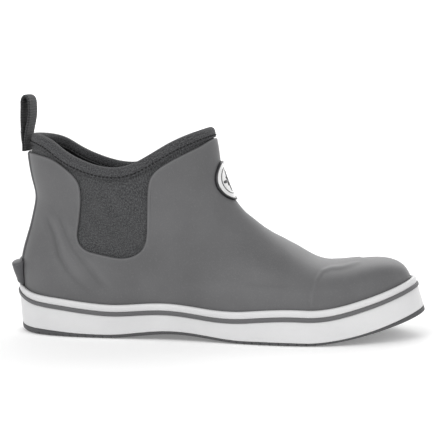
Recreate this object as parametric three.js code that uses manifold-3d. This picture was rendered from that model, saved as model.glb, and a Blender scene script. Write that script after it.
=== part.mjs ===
// A right ankle-high deck boot: a moulded rubber upper over a neoprene bootie, on a foxed rubber sole.
// Millimetres, +Z up, toe towards +X, outer side of the foot towards -Y.
// The origin is under the middle of the boot's bounding box, at ground level.
//
// The boot is described on one "skin", the outer face of the rubber upper. A point of it has two
// parameters: theta runs round the foot (0 heel, PI toe, the outer side between them), and v runs
// up, from 0 at the top of the foxing to 1 at the collar's top line. Every soft layer is the same
// skin moved in or out along its normal.

import * as THREE from 'three';
import { mergeVertices } from 'three/addons/utils/BufferGeometryUtils.js';
import Module from 'manifold-3d';

const wasm = await Module();
wasm.setup();

// ---- driving dimensions ----
const LAST_LENGTH = 290.2;        // upper, heel to toe, along the top of the foxing
const BALL_HALF_WIDTH = 49.6;     // upper, half its width across the ball
const COLLAR_RISE = 130.3;         // collar's front top line above the foxing at the waist
const FOXING_HEIGHT = 22;         // foxing, at the middle of the boot
const GAP = 0.3;                  // clearance between pieces that are bonded or rest on each other

const RUBBER = 1.8;               // rubber upper
const NEOPRENE = 3.2;             // bootie wall
const STIFFENER = 0.9;            // toe puff and heel counter
const STIFF_PLAY = 0.85;          // room on each side of a stiffener
const BINDING = 1.4;              // collar binding
const BINDING_PLAY = 0.6;         // room between the binding and the bootie
const BINDING_DEPTH = 8.6;        // how far the binding comes down each side of the collar
const FOXING = 3.0;               // foxing band and bead
const STRIPE_PROUD = 1.0;         // how far the stripe stands out of the band
const STRIPE_HEIGHT = 2.6;
const BEAD_HEIGHT = 5.0;
const OUTSOLE_STEP = 2.0;         // outsole, raised inside the foxing
const BOARD = 2.0;                // insole board
const SOCK = 2.2;                 // bootie, under the foot
const COVER = 1.2;                // footbed's fabric
const FOOTBED_PLAY = 1.6;         // side play of the removable footbed
const PAD = 2.4;                  // heel pad
const SHANK = { from: 84, to: 172, width: 16, thick: 1.2 };

const GORE = { rear: 54.5, front: 105, bottom: 60.5, corner: 13, flare: 17 };
const LOOP = { width: 25, thick: 1.7, top: 177.2 };
const BADGE = { radius: 15.6, rim: 1.6, height: 0.795, seat: 0.8 };
const TAB = { halfWidth: 14, low: 40.5, high: 55.5, proudLow: 1.6, proudHigh: 6.6 };
const STAY = { halfWidth: 9.5, thick: 1.1 };

const AROUND = 40;                // facets round the foot
const V_ROWS = [0, 0.035, 0.08, 0.18, 0.29, 0.40, 0.52, 0.62, 0.71, 0.79, 0.86];

// ---- the last's outlines, for the nominal sizes ----
const NOMINAL = { heel: 4.2, length: 290.2, halfWidth: 49.6, rise: 130.3 };
const stretch = LAST_LENGTH / NOMINAL.length;
const widen = BALL_HALF_WIDTH / NOMINAL.halfWidth;
const lift = COLLAR_RISE / NOMINAL.rise;
const along = x => NOMINAL.heel + (x - NOMINAL.heel) * stretch;

const HEEL_END = along(4.2);
const TOE_END = along(294.4);
const COLLAR_ENDS = [along(13), along(147.5)];
const STATIONS = [0, 0.2, 0.4, 0.6, 0.8, 1];

// side outlines from the foxing up: back of the heel, and the ridge from the toe to the shin
const BACK = [[4.2, 34.9], [4.0, 54], [7.4, 69], [10.6, 80], [13.4, 92], [14.9, 103], [12.6, 114],
  [10.2, 126], [9.6, 138], [13.0, 149.5]];
const RIDGE = [[294.4, 45.3], [289.5, 52.3], [280, 55.9], [262, 56.3], [243, 56], [228, 57], [212, 64],
  [194, 74.2], [176, 88], [164, 102], [157, 116], [153.3, 131], [151, 145], [147.5, 155.3]];
const COLLAR = [[0, 149.5], [0.067, 147.3], [0.127, 143.2], [0.18, 137.9], [0.235, 133.2], [0.3, 129.3],
  [0.38, 126], [0.46, 124.4], [0.54, 124.5], [0.64, 128.5], [0.8, 141], [1, 155.3]];

// half widths of the rings at the stations: foxing top, three in between, collar
const HALF_WIDTHS = [[64, 45, 36.5, 47, 62, 65], [67, 46.5, 38.5, 39, 45, 50], [34, 39.5, 38, 39, 40, 45],
  [40, 35, 36.5, 36.5, 37, 38], [43, 43, 42.5, 42, 41, 40]];
const CENTRE_LINE = [0, 0, -2.5, -2, 2, 7];
const ROUNDNESS = [[100, -0.45], [165, -0.45], [185, -0.3], [205, -0.05], [235, 0.2], [270, 0.28], [300, 0.28]];
const TOE_LEAN = [[0, -2.2], [0.15, -0.5], [0.4, 1], [0.7, 2], [0.9, 4.5], [1, 7.3]];

// ---- small mathematics ----
const smooth = t => { const c = Math.min(Math.max(t, 0), 1); return c * c * (3 - 2 * c); };
const mix = (a, b, t) => a + (b - a) * t;

// natural cubic spline through [x, y] pairs
function spline(points) {
  const n = points.length - 1;
  const x = points.map(p => p[0]);
  const y = points.map(p => p[1]);
  const bend = new Array(n + 1).fill(0);
  const upper = new Array(n + 1).fill(0);
  for (let i = 1; i < n; i++) {
    const a = x[i] - x[i - 1];
    const c = x[i + 1] - x[i];
    const slopes = 6 * ((y[i + 1] - y[i]) / c - (y[i] - y[i - 1]) / a);
    const pivot = 2 * (a + c) - a * upper[i - 1];
    upper[i] = c / pivot;
    bend[i] = (slopes - a * bend[i - 1]) / pivot;
  }
  for (let i = n - 1; i > 0; i--) bend[i] -= upper[i] * bend[i + 1];
  return at => {
    let i = 0;
    while (i < n - 1 && at >= x[i + 1]) i++;
    const h = x[i + 1] - x[i];
    const t = at - x[i];
    const slope = (y[i + 1] - y[i]) / h - h * (2 * bend[i] + bend[i + 1]) / 6;
    return y[i] + slope * t + bend[i] / 2 * t * t + (bend[i + 1] - bend[i]) / (6 * h) * t ** 3;
  };
}

// a plane curve through points, its parameter 0..1 in proportion to chord length
function curve(points) {
  const lengths = [0];
  for (let i = 1; i < points.length; i++) {
    const [dx, dz] = [points[i][0] - points[i - 1][0], points[i][1] - points[i - 1][1]];
    lengths.push(lengths[i - 1] + Math.hypot(dx, dz));
  }
  const total = lengths[lengths.length - 1];
  const first = spline(points.map((p, i) => [lengths[i] / total, p[0]]));
  const second = spline(points.map((p, i) => [lengths[i] / total, p[1]]));
  return t => [first(t), second(t)];
}

const overStations = row => spline(row.map((value, i) => [STATIONS[i], value]));

// ---- levels of the sole, as heights over x ----
const HEEL_FLAT = [along(20), along(72)];
const BALL_FLAT = [along(178), along(222)];
const WAIST_LIFT = 4.1;
const HEEL_ROLL = 3;              // lift of the sole's rearmost 20 mm
const TOE_SPRING = 0.0241;        // lift of the toe, per millimetre to the power 1.5
const edgeThickness = spline([[0, 3.6], [20, 4], [50, 2.5], [100, 2.2], [150, 1.7], [209, 1.8],
  [265, 1.6], [290, 3], [306, 3.9]].map(([x, z]) => [along(x), z]));
const foxingRise = spline([[0, 8.2], [15, 4.3], [40, 2.4], [70, 0.3], [110, -1.6], [150, -2.9], [210, 1.2],
  [235, 0.9], [260, 1.9], [280, 2.1], [295, 2.3]].map(([x, z]) => [along(x), z]));
const midsoleHeight = spline([[0, 11], [60, 11], [130, 9.5], [200, 7.4], [250, 6.5], [300, 6]]
  .map(([x, z]) => [along(x), z]));
const footbedHeight = spline([[0, 5.2], [70, 5.2], [150, 5], [210, 3.8], [300, 3.4]]
  .map(([x, z]) => [along(x), z]));

function ground(x) {
  if (x < HEEL_FLAT[0]) return HEEL_ROLL * ((HEEL_FLAT[0] - x) / 20) ** 2;
  if (x < HEEL_FLAT[1]) return 0;
  if (x < BALL_FLAT[0]) {
    return WAIST_LIFT * Math.sin(Math.PI * (x - HEEL_FLAT[1]) / (BALL_FLAT[0] - HEEL_FLAT[1])) ** 2;
  }
  return x < BALL_FLAT[1] ? 0 : TOE_SPRING * (x - BALL_FLAT[1]) ** 1.5;
}
const soleEdge = x => ground(x) + edgeThickness(x);
const foxingTop = x => soleEdge(x) + FOXING_HEIGHT + foxingRise(x);
const outsoleTop = x => soleEdge(x) + OUTSOLE_STEP;
const midsoleTop = x => soleEdge(x) + midsoleHeight(x);
const boardTop = x => midsoleTop(x) + GAP + BOARD;
const sockTop = x => boardTop(x) + GAP + SOCK;
const footbedTop = x => sockTop(x) + GAP + footbedHeight(x);
const above = (level, rise) => x => level(x) + rise;

// ---- the skin ----
const nominalFoxing = spline([[0, 34.9], [15, 31.3], [40, 27.2], [70, 24.7], [110, 25], [150, 25],
  [210, 25], [235, 26.8], [260, 31.2], [280, 37.6], [294.4, 45.3]]);
const raise = ([x, z]) => [along(x), foxingTop(along(x)) + (z - nominalFoxing(x)) * lift];
const backCurve = curve(BACK.map((p, i) => i ? raise(p) : [HEEL_END, foxingTop(HEEL_END)]));
const ridgeCurve = curve(RIDGE.map((p, i) => i ? raise(p) : [TOE_END, foxingTop(TOE_END)]));
const collarHeight = spline(COLLAR.map(([g, z]) => {
  const x = mix(13, 147.5, g);
  return [g, raise([x, z])[1]];
}));
const rings = HALF_WIDTHS.map(overStations);
const centreLine = overStations(CENTRE_LINE);
const roundness = spline(ROUNDNESS.map(([x, b]) => [along(x), b]));
const lean = spline(TOE_LEAN);

// side view: a Coons patch between the foxing line, the collar, the heel and the ridge
function side(g, v) {
  const mx = mix(HEEL_END, TOE_END, g);
  const low = [mx, foxingTop(mx)];
  const high = [mix(...COLLAR_ENDS, g), collarHeight(g)];
  const rear = backCurve(v);
  const front = ridgeCurve(v);
  const corners = [backCurve(0), ridgeCurve(0), backCurve(1), ridgeCurve(1)];
  return [0, 1].map(k => (1 - v) * low[k] + v * high[k] + (1 - g) * rear[k] + g * front[k]
    - ((1 - g) * (1 - v) * corners[0][k] + g * (1 - v) * corners[1][k]
      + (1 - g) * v * corners[2][k] + g * v * corners[3][k]));
}

// height of the ridge at x, by bisection, carried on straight behind the shin
const SHIN_X = along(156);
function ridgeAt(x) {
  let low = 0;
  let high = 1;
  for (let i = 0; i < 40; i++) {
    const middle = (low + high) / 2;
    if (ridgeCurve(middle)[0] > x) low = middle;
    else high = middle;
  }
  return ridgeCurve((low + high) / 2)[1];
}
const SHIN_Z = ridgeAt(SHIN_X);
const SHIN_SLOPE = ridgeAt(SHIN_X + 1) - SHIN_Z;
const roof = x => x < SHIN_X ? SHIN_Z + SHIN_SLOPE * (x - SHIN_X) : ridgeAt(x);

// half width: a dome under the ridge in the forefoot, oval rings in the shaft
const DOME = { from: along(105), to: along(165), low: 72, high: 122 };
function halfWidth(sine, g, v, x, z) {
  if (sine < 1e-9) return 0;
  let ring = 0;
  [1, 4, 6, 4, 1].forEach((choose, k) => { ring += choose * v ** k * (1 - v) ** (4 - k) * rings[k](g); });
  const share = smooth((x - DOME.from) / (DOME.to - DOME.from))
    * (1 - smooth((z - DOME.low) / (DOME.high - DOME.low)));
  if (share === 0) return widen * sine * ring;
  const along01 = Math.min(Math.max((x - HEEL_END) / (TOE_END - HEEL_END), 0), 1);
  const base = 2 * Math.sqrt(along01 * (1 - along01)) * rings[0](along01);
  const t = Math.min(Math.max((z - foxingTop(x)) / (roof(x) - foxingTop(x) + 1e-9), 0), 1);
  const dome = base * Math.sqrt(1 - t * t) * (1 + roundness(x) * t * t);
  return widen * mix(sine * ring, dome, share);
}

function skinPoint(theta, v) {
  const g = (1 - Math.cos(theta)) / 2;
  const sine = Math.sin(theta);
  const [x, z] = side(g, v);
  const y = widen * centreLine(g) * (1 - v) ** 2 - Math.sign(sine) * halfWidth(Math.abs(sine), g, v, x, z);
  return new THREE.Vector3(x, y, z);
}

// outward direction: level at the foxing line, the skin's own normal above it
const STEP = 1e-3;
function planNormal(theta) {
  const t = skinPoint(theta + STEP, 0).sub(skinPoint(theta - STEP, 0));
  return new THREE.Vector3(t.y, -t.x, 0).normalize();
}
function outward(theta, v) {
  const level = planNormal(theta);
  if (v <= 0) return level;
  const low = Math.max(v - STEP, 0);
  const high = Math.min(v + STEP, 1);
  const round = skinPoint(theta + STEP, v).sub(skinPoint(theta - STEP, v));
  const rise = skinPoint(theta, high).sub(skinPoint(theta, low));
  return level.lerp(round.cross(rise).normalize(), smooth(v / 0.08)).normalize();
}

const skin = (theta, v, out) => skinPoint(theta, v).addScaledVector(outward(theta, v), out);

// below the foxing line the wall leans out towards the outsole
function wall(theta, z, out) {
  const top = skinPoint(theta, 0);
  const g = (1 - Math.cos(theta)) / 2;
  const down = (top.z - z) / (top.z - soleEdge(top.x));
  return top.addScaledVector(planNormal(theta), lean(g) * down + out).setZ(z);
}
function onLevel(theta, level, out) {
  let z = level(skinPoint(theta, 0).x);
  for (let i = 0; i < 3; i++) z = level(wall(theta, z, out).x);
  return wall(theta, z, out);
}

// middle line of the sole, where flat pieces close on themselves
function middle(theta, level) {
  const g = (1 - Math.cos(theta)) / 2;
  const x = mix(HEEL_END + 30 * stretch, TOE_END - 36 * stretch, g);
  return new THREE.Vector3(x, widen * centreLine(g), level(x));
}

// how far v moves for one millimetre down from the collar
const collarStep = theta => 0.1 / skinPoint(theta, 1).distanceTo(skinPoint(theta, 0.9));
const belowCollar = (theta, distance) => 1 - distance * collarStep(theta);

// ---- meshes ----
function geometry(points, faces) {
  const shape = new THREE.BufferGeometry();
  shape.setAttribute('position', new THREE.Float32BufferAttribute(points.flatMap(p => [p.x, p.y, p.z]), 3));
  shape.setIndex(faces);
  return mergeVertices(shape, 1e-5);
}

// closed body from rings of points; the last ring joins the first unless both end on a middle line.
// Each four-sided facet is split along its shorter diagonal, so that neighbouring pieces match.
function loft(ringList, ends) {
  const count = ringList[0].length;
  const points = ringList.flat();
  const faces = [];
  const last = ends === 'middle' ? ringList.length - 1 : ringList.length;
  for (let r = 0; r < last; r++) {
    const next = (r + 1) % ringList.length;
    for (let i = 0; i < count; i++) {
      const j = (i + 1) % count;
      const [a, b, c, d] = [r * count + i, r * count + j, next * count + j, next * count + i];
      if (points[a].distanceTo(points[c]) <= points[b].distanceTo(points[d])) faces.push(a, b, c, a, c, d);
      else faces.push(a, b, d, b, c, d);
    }
  }
  return geometry(points, faces);
}

const steps = count => Array.from({ length: count + 1 }, (_, i) => i / count);
const thetas = Array.from({ length: AROUND }, (_, i) => 2 * Math.PI * i / AROUND);
const round = place => thetas.map(theta => place(theta));

// closed patch between two faces, each a function of u in 0..1 and of a value from a list of rows
function patch(outer, inner, across, rows) {
  const up = rows.length - 1;
  const points = [];
  const faces = [];
  const size = (across + 1) * (up + 1);
  const index = (face, i, j) => face * size + j * (across + 1) + i;
  for (const face of [outer, inner]) {
    for (const row of rows) for (let i = 0; i <= across; i++) points.push(face(i / across, row));
  }
  const quad = (a, b, c, d) => faces.push(a, b, c, a, c, d);
  for (let j = 0; j < up; j++) {
    for (let i = 0; i < across; i++) {
      quad(index(0, i, j), index(0, i + 1, j), index(0, i + 1, j + 1), index(0, i, j + 1));
      quad(index(1, i, j), index(1, i, j + 1), index(1, i + 1, j + 1), index(1, i + 1, j));
    }
    quad(index(0, 0, j), index(0, 0, j + 1), index(1, 0, j + 1), index(1, 0, j));
    quad(index(0, across, j), index(1, across, j), index(1, across, j + 1), index(0, across, j + 1));
  }
  for (let i = 0; i < across; i++) {
    quad(index(0, i, 0), index(1, i, 0), index(1, i + 1, 0), index(0, i + 1, 0));
    quad(index(0, i, up), index(0, i + 1, up), index(1, i + 1, up), index(1, i, up));
  }
  return geometry(points, faces);
}

// booleans
function toSolid(shape) {
  const bare = new THREE.BufferGeometry();
  bare.setAttribute('position', shape.getAttribute('position'));
  if (shape.index) bare.setIndex(shape.index);
  const merged = mergeVertices(bare, 1e-4);
  return new wasm.Manifold(new wasm.Mesh({
    numProp: 3,
    vertProperties: new Float32Array(merged.getAttribute('position').array),
    triVerts: new Uint32Array(merged.index.array),
  }));
}
function cut(shape, tool) {
  const mesh = toSolid(shape).subtract(toSolid(tool)).getMesh();
  const result = new THREE.BufferGeometry();
  result.setAttribute('position', new THREE.Float32BufferAttribute(mesh.vertProperties, 3));
  result.setIndex(Array.from(mesh.triVerts));
  return result;
}

// rings of a sheet on one level, from its outline in to the middle line, with an optional raised rim
const SHARES = [0, 0.3, 0.65, 1];
function sheetRows(level, out, rim = () => 0) {
  return SHARES.map(share => round(t => {
    const p = onLevel(t, level, out).lerp(middle(t, level), share);
    return p.setZ(level(p.x) + (share === 0 ? rim(p.x) : 0));
  }));
}

// flat plate between two levels, inset from the wall
function plate(bottom, top, out, rims = {}) {
  return loft([...sheetRows(bottom, out, rims.bottom).reverse(), ...sheetRows(top, out, rims.top)], 'middle');
}

// ---- sole ----
const OUT = { wall: GAP, foxing: GAP + FOXING, stripe: GAP + FOXING + STRIPE_PROUD };

function outsole() {
  const rimRound = 0.8;
  return loft([
    ...sheetRows(ground, OUT.foxing - rimRound).reverse(),
    round(t => onLevel(t, above(ground, rimRound), OUT.foxing)),
    round(t => onLevel(t, soleEdge, OUT.foxing)),
    round(t => onLevel(t, soleEdge, -2 * GAP)),
    ...sheetRows(outsoleTop, -2 * GAP),
  ], 'middle');
}

function shankPiece(grow) {
  const { from, to, width, thick } = SHANK;
  const place = (u, w, rise) => {
    const x = mix(along(from) - grow, along(to) + grow, w);
    const y = widen * centreLine(0.5) + (u - 0.5) * (width + 2 * grow);
    return new THREE.Vector3(x, y, midsoleTop(x) - SHANK.thick + rise);
  };
  const top = grow > 0 ? 4 : 0;
  return patch((u, w) => place(1 - u, w, thick + top), (u, w) => place(1 - u, w, -grow), 2, steps(8));
}

const midsole = () => cut(plate(above(outsoleTop, GAP), midsoleTop, 0), shankPiece(GAP));
const insoleBoard = () => plate(above(midsoleTop, GAP), boardTop, -(RUBBER + GAP));

// foxing pieces are rings between two heights under the foxing line
function foxingRing(low, high, out, rounding) {
  return loft([
    round(t => onLevel(t, low, OUT.wall)),
    round(t => onLevel(t, low, out)),
    round(t => onLevel(t, above(high, -rounding), out)),
    round(t => onLevel(t, high, out - rounding)),
    round(t => onLevel(t, high, OUT.wall)),
  ], 'closed');
}
const bandTop = above(foxingTop, -BEAD_HEIGHT - STRIPE_HEIGHT - GAP);
const stripeTop = above(foxingTop, -BEAD_HEIGHT);
const foxingBand = () => foxingRing(above(soleEdge, GAP), above(bandTop, -GAP), OUT.foxing, 0.4);
const foxingStripe = () => foxingRing(bandTop, above(stripeTop, -GAP), OUT.stripe, 0.6);
const foxingBead = () => foxingRing(stripeTop, foxingTop, OUT.foxing, 1.4);

// ---- upper ----
const rubberDrop = spline([[0, 15.5], [0.2, 12.6], [0.4, 11.2], [0.8, 10.4], [1, 9.4]]);
const rubberEdge = theta => belowCollar(theta, rubberDrop((1 - Math.cos(theta)) / 2));

function goreOutline() {
  const rear = along(GORE.rear);
  const front = along(GORE.front);
  const { bottom, corner, flare } = GORE;
  const rearTop = 128 * lift;
  const frontTop = 127 * lift;
  const over = 60;
  const shape = new THREE.Shape();
  shape.moveTo(rear, bottom + corner);
  shape.quadraticCurveTo(rear, bottom, rear + corner, bottom);
  shape.lineTo(front - corner * 0.8, bottom + 2);
  shape.quadraticCurveTo(front, bottom + 2.5, front, bottom + corner + 4);
  shape.lineTo(front, frontTop - flare);
  shape.quadraticCurveTo(front + 0.5, frontTop - 2, front + flare, frontTop + 3);
  shape.lineTo(front + flare, frontTop + over);
  shape.lineTo(rear - flare, rearTop + over);
  shape.lineTo(rear - flare, rearTop + 1);
  shape.quadraticCurveTo(rear, rearTop - 3, rear, rearTop - flare);
  shape.closePath();
  return shape;
}

function goreCutter() {
  const depth = 160 * widen;
  const tool = new THREE.ExtrudeGeometry(goreOutline(), { depth, bevelEnabled: false, curveSegments: 5 });
  return tool.rotateX(Math.PI / 2).translate(0, depth / 2, 0);
}

function rubberUpper() {
  const low = above(midsoleTop, GAP);
  const rows = out => [...V_ROWS.map(v => round(t => skin(t, v, out))),
    round(t => skin(t, rubberEdge(t), out))];
  const body = loft([
    round(t => onLevel(t, low, -RUBBER)),
    round(t => onLevel(t, low, 0)),
    ...rows(0),
    ...rows(-RUBBER).reverse(),
  ], 'closed');
  return cut(body, goreCutter());
}

// the bootie sits deeper where the stiffeners lie between it and the rubber
const STIFF_TOP = 0.385;
const STIFF_OUT = -(RUBBER + STIFF_PLAY);
const bootieOut = v => mix(STIFF_OUT - STIFFENER - STIFF_PLAY, -(RUBBER + GAP),
  smooth((v - STIFF_TOP - 0.015) / 0.12));
const bootieIn = v => bootieOut(v) - NEOPRENE;

function neopreneBootie() {
  const top = t => belowCollar(t, BINDING + BINDING_PLAY);
  const rowV = [...V_ROWS, 0.93];
  const rows = out => [...rowV.map(v => round(t => skin(t, v, out(v)))), round(t => skin(t, top(t), out(1)))];
  const bottom = above(boardTop, GAP);
  return loft([
    ...sheetRows(bottom, bootieOut(0)).reverse(),
    ...rows(bootieOut),
    ...rows(bootieIn).reverse(),
    ...sheetRows(sockTop, bootieIn(0)),
  ], 'middle');
}

function collarBinding() {
  const outer = bootieOut(1) + BINDING_PLAY;
  const inner = bootieIn(1) - BINDING_PLAY;
  const at = (out, down) => round(t => skin(t, belowCollar(t, down), out));
  return loft([
    at(outer + BINDING, BINDING_DEPTH), at(outer + BINDING, 1.2), at(outer, 0), at(inner, 0),
    at(inner - BINDING, 1.2), at(inner - BINDING, BINDING_DEPTH), at(inner, BINDING_DEPTH),
    at(inner, BINDING), at(outer, BINDING), at(outer, BINDING_DEPTH),
  ], 'closed');
}

const BINDING_FACE = bootieOut(1) + BINDING_PLAY + BINDING;
const THREAD = 0.5;
function collarStitching() {
  const at = (out, down) => round(t => skin(t, belowCollar(t, down), BINDING_FACE + GAP + out));
  return loft([at(0, 7.5), at(THREAD, 7.5), at(THREAD, 7.5 - THREAD), at(0, 7.5 - THREAD)], 'closed');
}

// angle at which the skin near the heel is a given distance from the middle plane
const heelAngle = (distance, v) => Math.asin(distance / (widen * rings[0](0) * (1 - v) + widen * 43 * v));

function heelStay() {
  const top = belowCollar(0, rubberDrop(0) + 1.5);
  const face = out => (u, v) => skin(mix(-1, 1, u) * heelAngle(STAY.halfWidth, v), v, out);
  const rows = [0.02, ...V_ROWS.slice(1).filter(v => v < top - 0.02), top];
  return patch(face(GAP + STAY.thick), face(GAP), 4, rows);
}

function kickTab() {
  const v = w => mix(TAB.low, TAB.high, w);
  const rise = z => (z - foxingTop(HEEL_END)) / (backCurve(1)[1] - foxingTop(HEEL_END));
  const base = 2 * GAP + STAY.thick;
  const face = proud => (u, w) => {
    const level = rise(v(w));
    const side = mix(-1, 1, u);
    const fade = 1 - 0.35 * side ** 4;
    const out = proud ? mix(TAB.proudLow, TAB.proudHigh, w) * fade : 0;
    return skin(side * heelAngle(TAB.halfWidth, level), level - (proud ? 0.02 * w : 0), base + out);
  };
  return patch(face(true), face(false), 8, steps(4));
}

function toePuff() {
  const start = v => Math.acos(1 - 2 * (0.755 + 0.86 * v));
  const face = out => (u, v) => skin(mix(start(v), 2 * Math.PI - start(v), u), v, out);
  return patch(face(STIFF_OUT), face(STIFF_OUT - STIFFENER), 16, [0.01, ...V_ROWS.slice(1, 4), 0.24]);
}

function heelCounter() {
  const reach = v => Math.acos(1 - 2 * mix(0.24, 0.13, (v / STIFF_TOP) ** 2));
  const face = out => (u, v) => skin(mix(-reach(v), reach(v), u), v, out);
  return patch(face(STIFF_OUT), face(STIFF_OUT - STIFFENER), 14, [0.01, ...V_ROWS.slice(1, 5), STIFF_TOP]);
}

// ---- pull loop, a folded strip of webbing sewn at its foot ----
const LOOP_FOOT_Z = 134.7;
const backX = z => {
  const t = (z - foxingTop(HEEL_END)) / (backCurve(1)[1] - foxingTop(HEEL_END));
  let v = Math.min(Math.max(t, 0), 1);
  for (let i = 0; i < 12; i++) v = Math.min(Math.max(v - (backCurve(v)[1] - z) / 118, 0), 1);
  return backCurve(v)[0];
};
const loopShift = raise([13, 149.5])[1] - 149.5;
const loopFoot = {
  x: backX(LOOP_FOOT_Z + loopShift) - BINDING_FACE - 1.5 * GAP - LOOP.thick,
  z: LOOP_FOOT_Z + loopShift,
};

// middle line of the folded strip over its foot, in the side view: up its front leg, over the crown,
// down its rear leg; both legs are sewn flat on each other in the foot
const CROWN = LOOP.top - LOOP_FOOT_Z;
const LOOP_LINE = [[0.85, 7.4], [2.9, 12.5], [5.6, 17.2], [8.9, 22.5], [10.4, 29], [9.6, 36.5],
  [6.4, CROWN - 2.2], [2.6, CROWN - 0.85], [-1, CROWN - 3.4], [-2.6, 34.5], [-3, 26], [-2.6, 17], [-1.4, 10]];
const LOOP_FACETS = 30;
const FOOT_HEIGHT = 5.8;
const LEGS_PART = 7.6;

// the strip's outer outline, and the gap inside it
function loopProfile() {
  const { thick } = LOOP;
  const at = ([x, z]) => new THREE.Vector2(loopFoot.x + x, loopFoot.z + z);
  const points = LOOP_LINE.map(([x, z]) => new THREE.Vector3(x, z, 0));
  const line = new THREE.CatmullRomCurve3(points, true, 'centripetal');
  const offset = distance => Array.from({ length: LOOP_FACETS }, (_, i) => {
    const p = line.getPoint(i / LOOP_FACETS);
    const t = line.getTangent(i / LOOP_FACETS);
    return [p.x + t.y * distance, p.y - t.x * distance];
  });
  const ring = offset(thick / 2).filter(([, z]) => z > LEGS_PART);
  const outer = [[-thick, 0], [thick, 0], [thick, FOOT_HEIGHT], ...ring, [-thick, FOOT_HEIGHT]].map(at);
  return { outer, hole: offset(-thick / 2).map(at).reverse() };
}

function pullLoop() {
  const { outer, hole } = loopProfile();
  const shape = new THREE.Shape(outer);
  shape.holes.push(new THREE.Path(hole));
  const strip = new THREE.ExtrudeGeometry(shape, { depth: LOOP.width, bevelEnabled: false, curveSegments: 1 });
  return strip.rotateX(Math.PI / 2).translate(0, LOOP.width / 2, 0);
}

// sewn box of thread on the foot of the loop
function loopTack() {
  const thread = 0.6;
  const frame = (w, h) => [[-w, -h], [w, -h], [w, h], [-w, h]].map(([y, z]) => new THREE.Vector2(y, z));
  const shape = new THREE.Shape(frame(LOOP.width / 2 - 2.5, 2.2));
  shape.holes.push(new THREE.Path(frame(LOOP.width / 2 - 2.5 - thread, 2.2 - thread).reverse()));
  const box = new THREE.ExtrudeGeometry(shape, { depth: THREAD, bevelEnabled: false });
  box.rotateX(Math.PI / 2).rotateZ(-Math.PI / 2);
  return box.translate(loopFoot.x - LOOP.thick - GAP - THREAD, 0, loopFoot.z + 2.9);
}

// ---- badge on the instep ----
// millimetres on the skin for one unit of v and of theta, about the badge's centre
const badgeSpan = (theta, v) => skinPoint(Math.PI + theta, BADGE.height + v)
  .distanceTo(skinPoint(Math.PI - theta, BADGE.height - v));
const badgeMetric = { up: badgeSpan(0, 0.05) / 0.1, across: badgeSpan(0.3, 0) / 0.6 };
// a point of the badge, from its radius, angle and height over the skin
function badgePoint(radius, angle, out) {
  const theta = Math.PI + radius * Math.cos(angle) / badgeMetric.across;
  return skin(theta, BADGE.height + radius * Math.sin(angle) / badgeMetric.up, out);
}
const BADGE_FACETS = 28;
const angles = Array.from({ length: BADGE_FACETS }, (_, i) => 2 * Math.PI * i / BADGE_FACETS);
const discRing = (radius, out) => angles.map(a => badgePoint(radius(a), a, out));

function badgeRim() {
  const ring = (inset, out) => discRing(() => BADGE.radius - inset, BADGE.seat + out);
  return loft([ring(0, 0), ring(0, 1.3), ring(0.5, 1.8), ring(BADGE.rim, 1.8), ring(BADGE.rim, 0)], 'closed');
}
function badgeDisc(radius, low, high) {
  const ring = (share, out) => discRing(a => share * radius(a), out);
  const rings = [[0, low], [0.5, low], [1, low], [1, high], [0.5, high], [0, high]];
  return loft(rings.map(([share, out]) => ring(share, out)), 'middle');
}
const FACE_TOP = BADGE.seat + 1;
const badgeFace = () => badgeDisc(() => BADGE.radius - BADGE.rim - GAP, BADGE.seat, FACE_TOP);
// four-pointed compass star
const starRadius = a => {
  const fold = Math.abs(Math.cos(2 * a));
  return mix(2.4, BADGE.radius * 0.62, fold ** 5);
};
const badgeEmblem = () => badgeDisc(starRadius, FACE_TOP + GAP, FACE_TOP + GAP + 0.5);

// ---- footbed ----
const bedOut = bootieIn(0) - FOOTBED_PLAY;
const heelCup = x => 3.2 * smooth((along(120) - x) / along(100));
const PAD_HALF = [27, 19];
const PAD_FACETS = 24;
function padShape(low, high, grow) {
  const ring = (share, level) => Array.from({ length: PAD_FACETS }, (_, i) => {
    const angle = 2 * Math.PI * i / PAD_FACETS;
    const x = along(52) + (PAD_HALF[0] + grow) * share * Math.cos(angle);
    return new THREE.Vector3(x, widen * (PAD_HALF[1] + grow) * share * Math.sin(angle), level(x));
  });
  return loft([ring(0, low), ring(1, low), ring(1, high), ring(0, high)], 'middle');
}
const padTop = above(sockTop, GAP + PAD);
const heelPad = () => padShape(above(sockTop, GAP), padTop, 0);
const footbed = () => cut(plate(above(sockTop, GAP), footbedTop, bedOut, { top: heelCup }),
  padShape(above(sockTop, -2), above(padTop, GAP), GAP));
const footbedCover = () => plate(above(footbedTop, GAP), above(footbedTop, GAP + COVER), bedOut,
  { top: heelCup, bottom: heelCup });

// ---- assembly ----
const boot = new THREE.Group();
boot.name = 'deck_boot';

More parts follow.
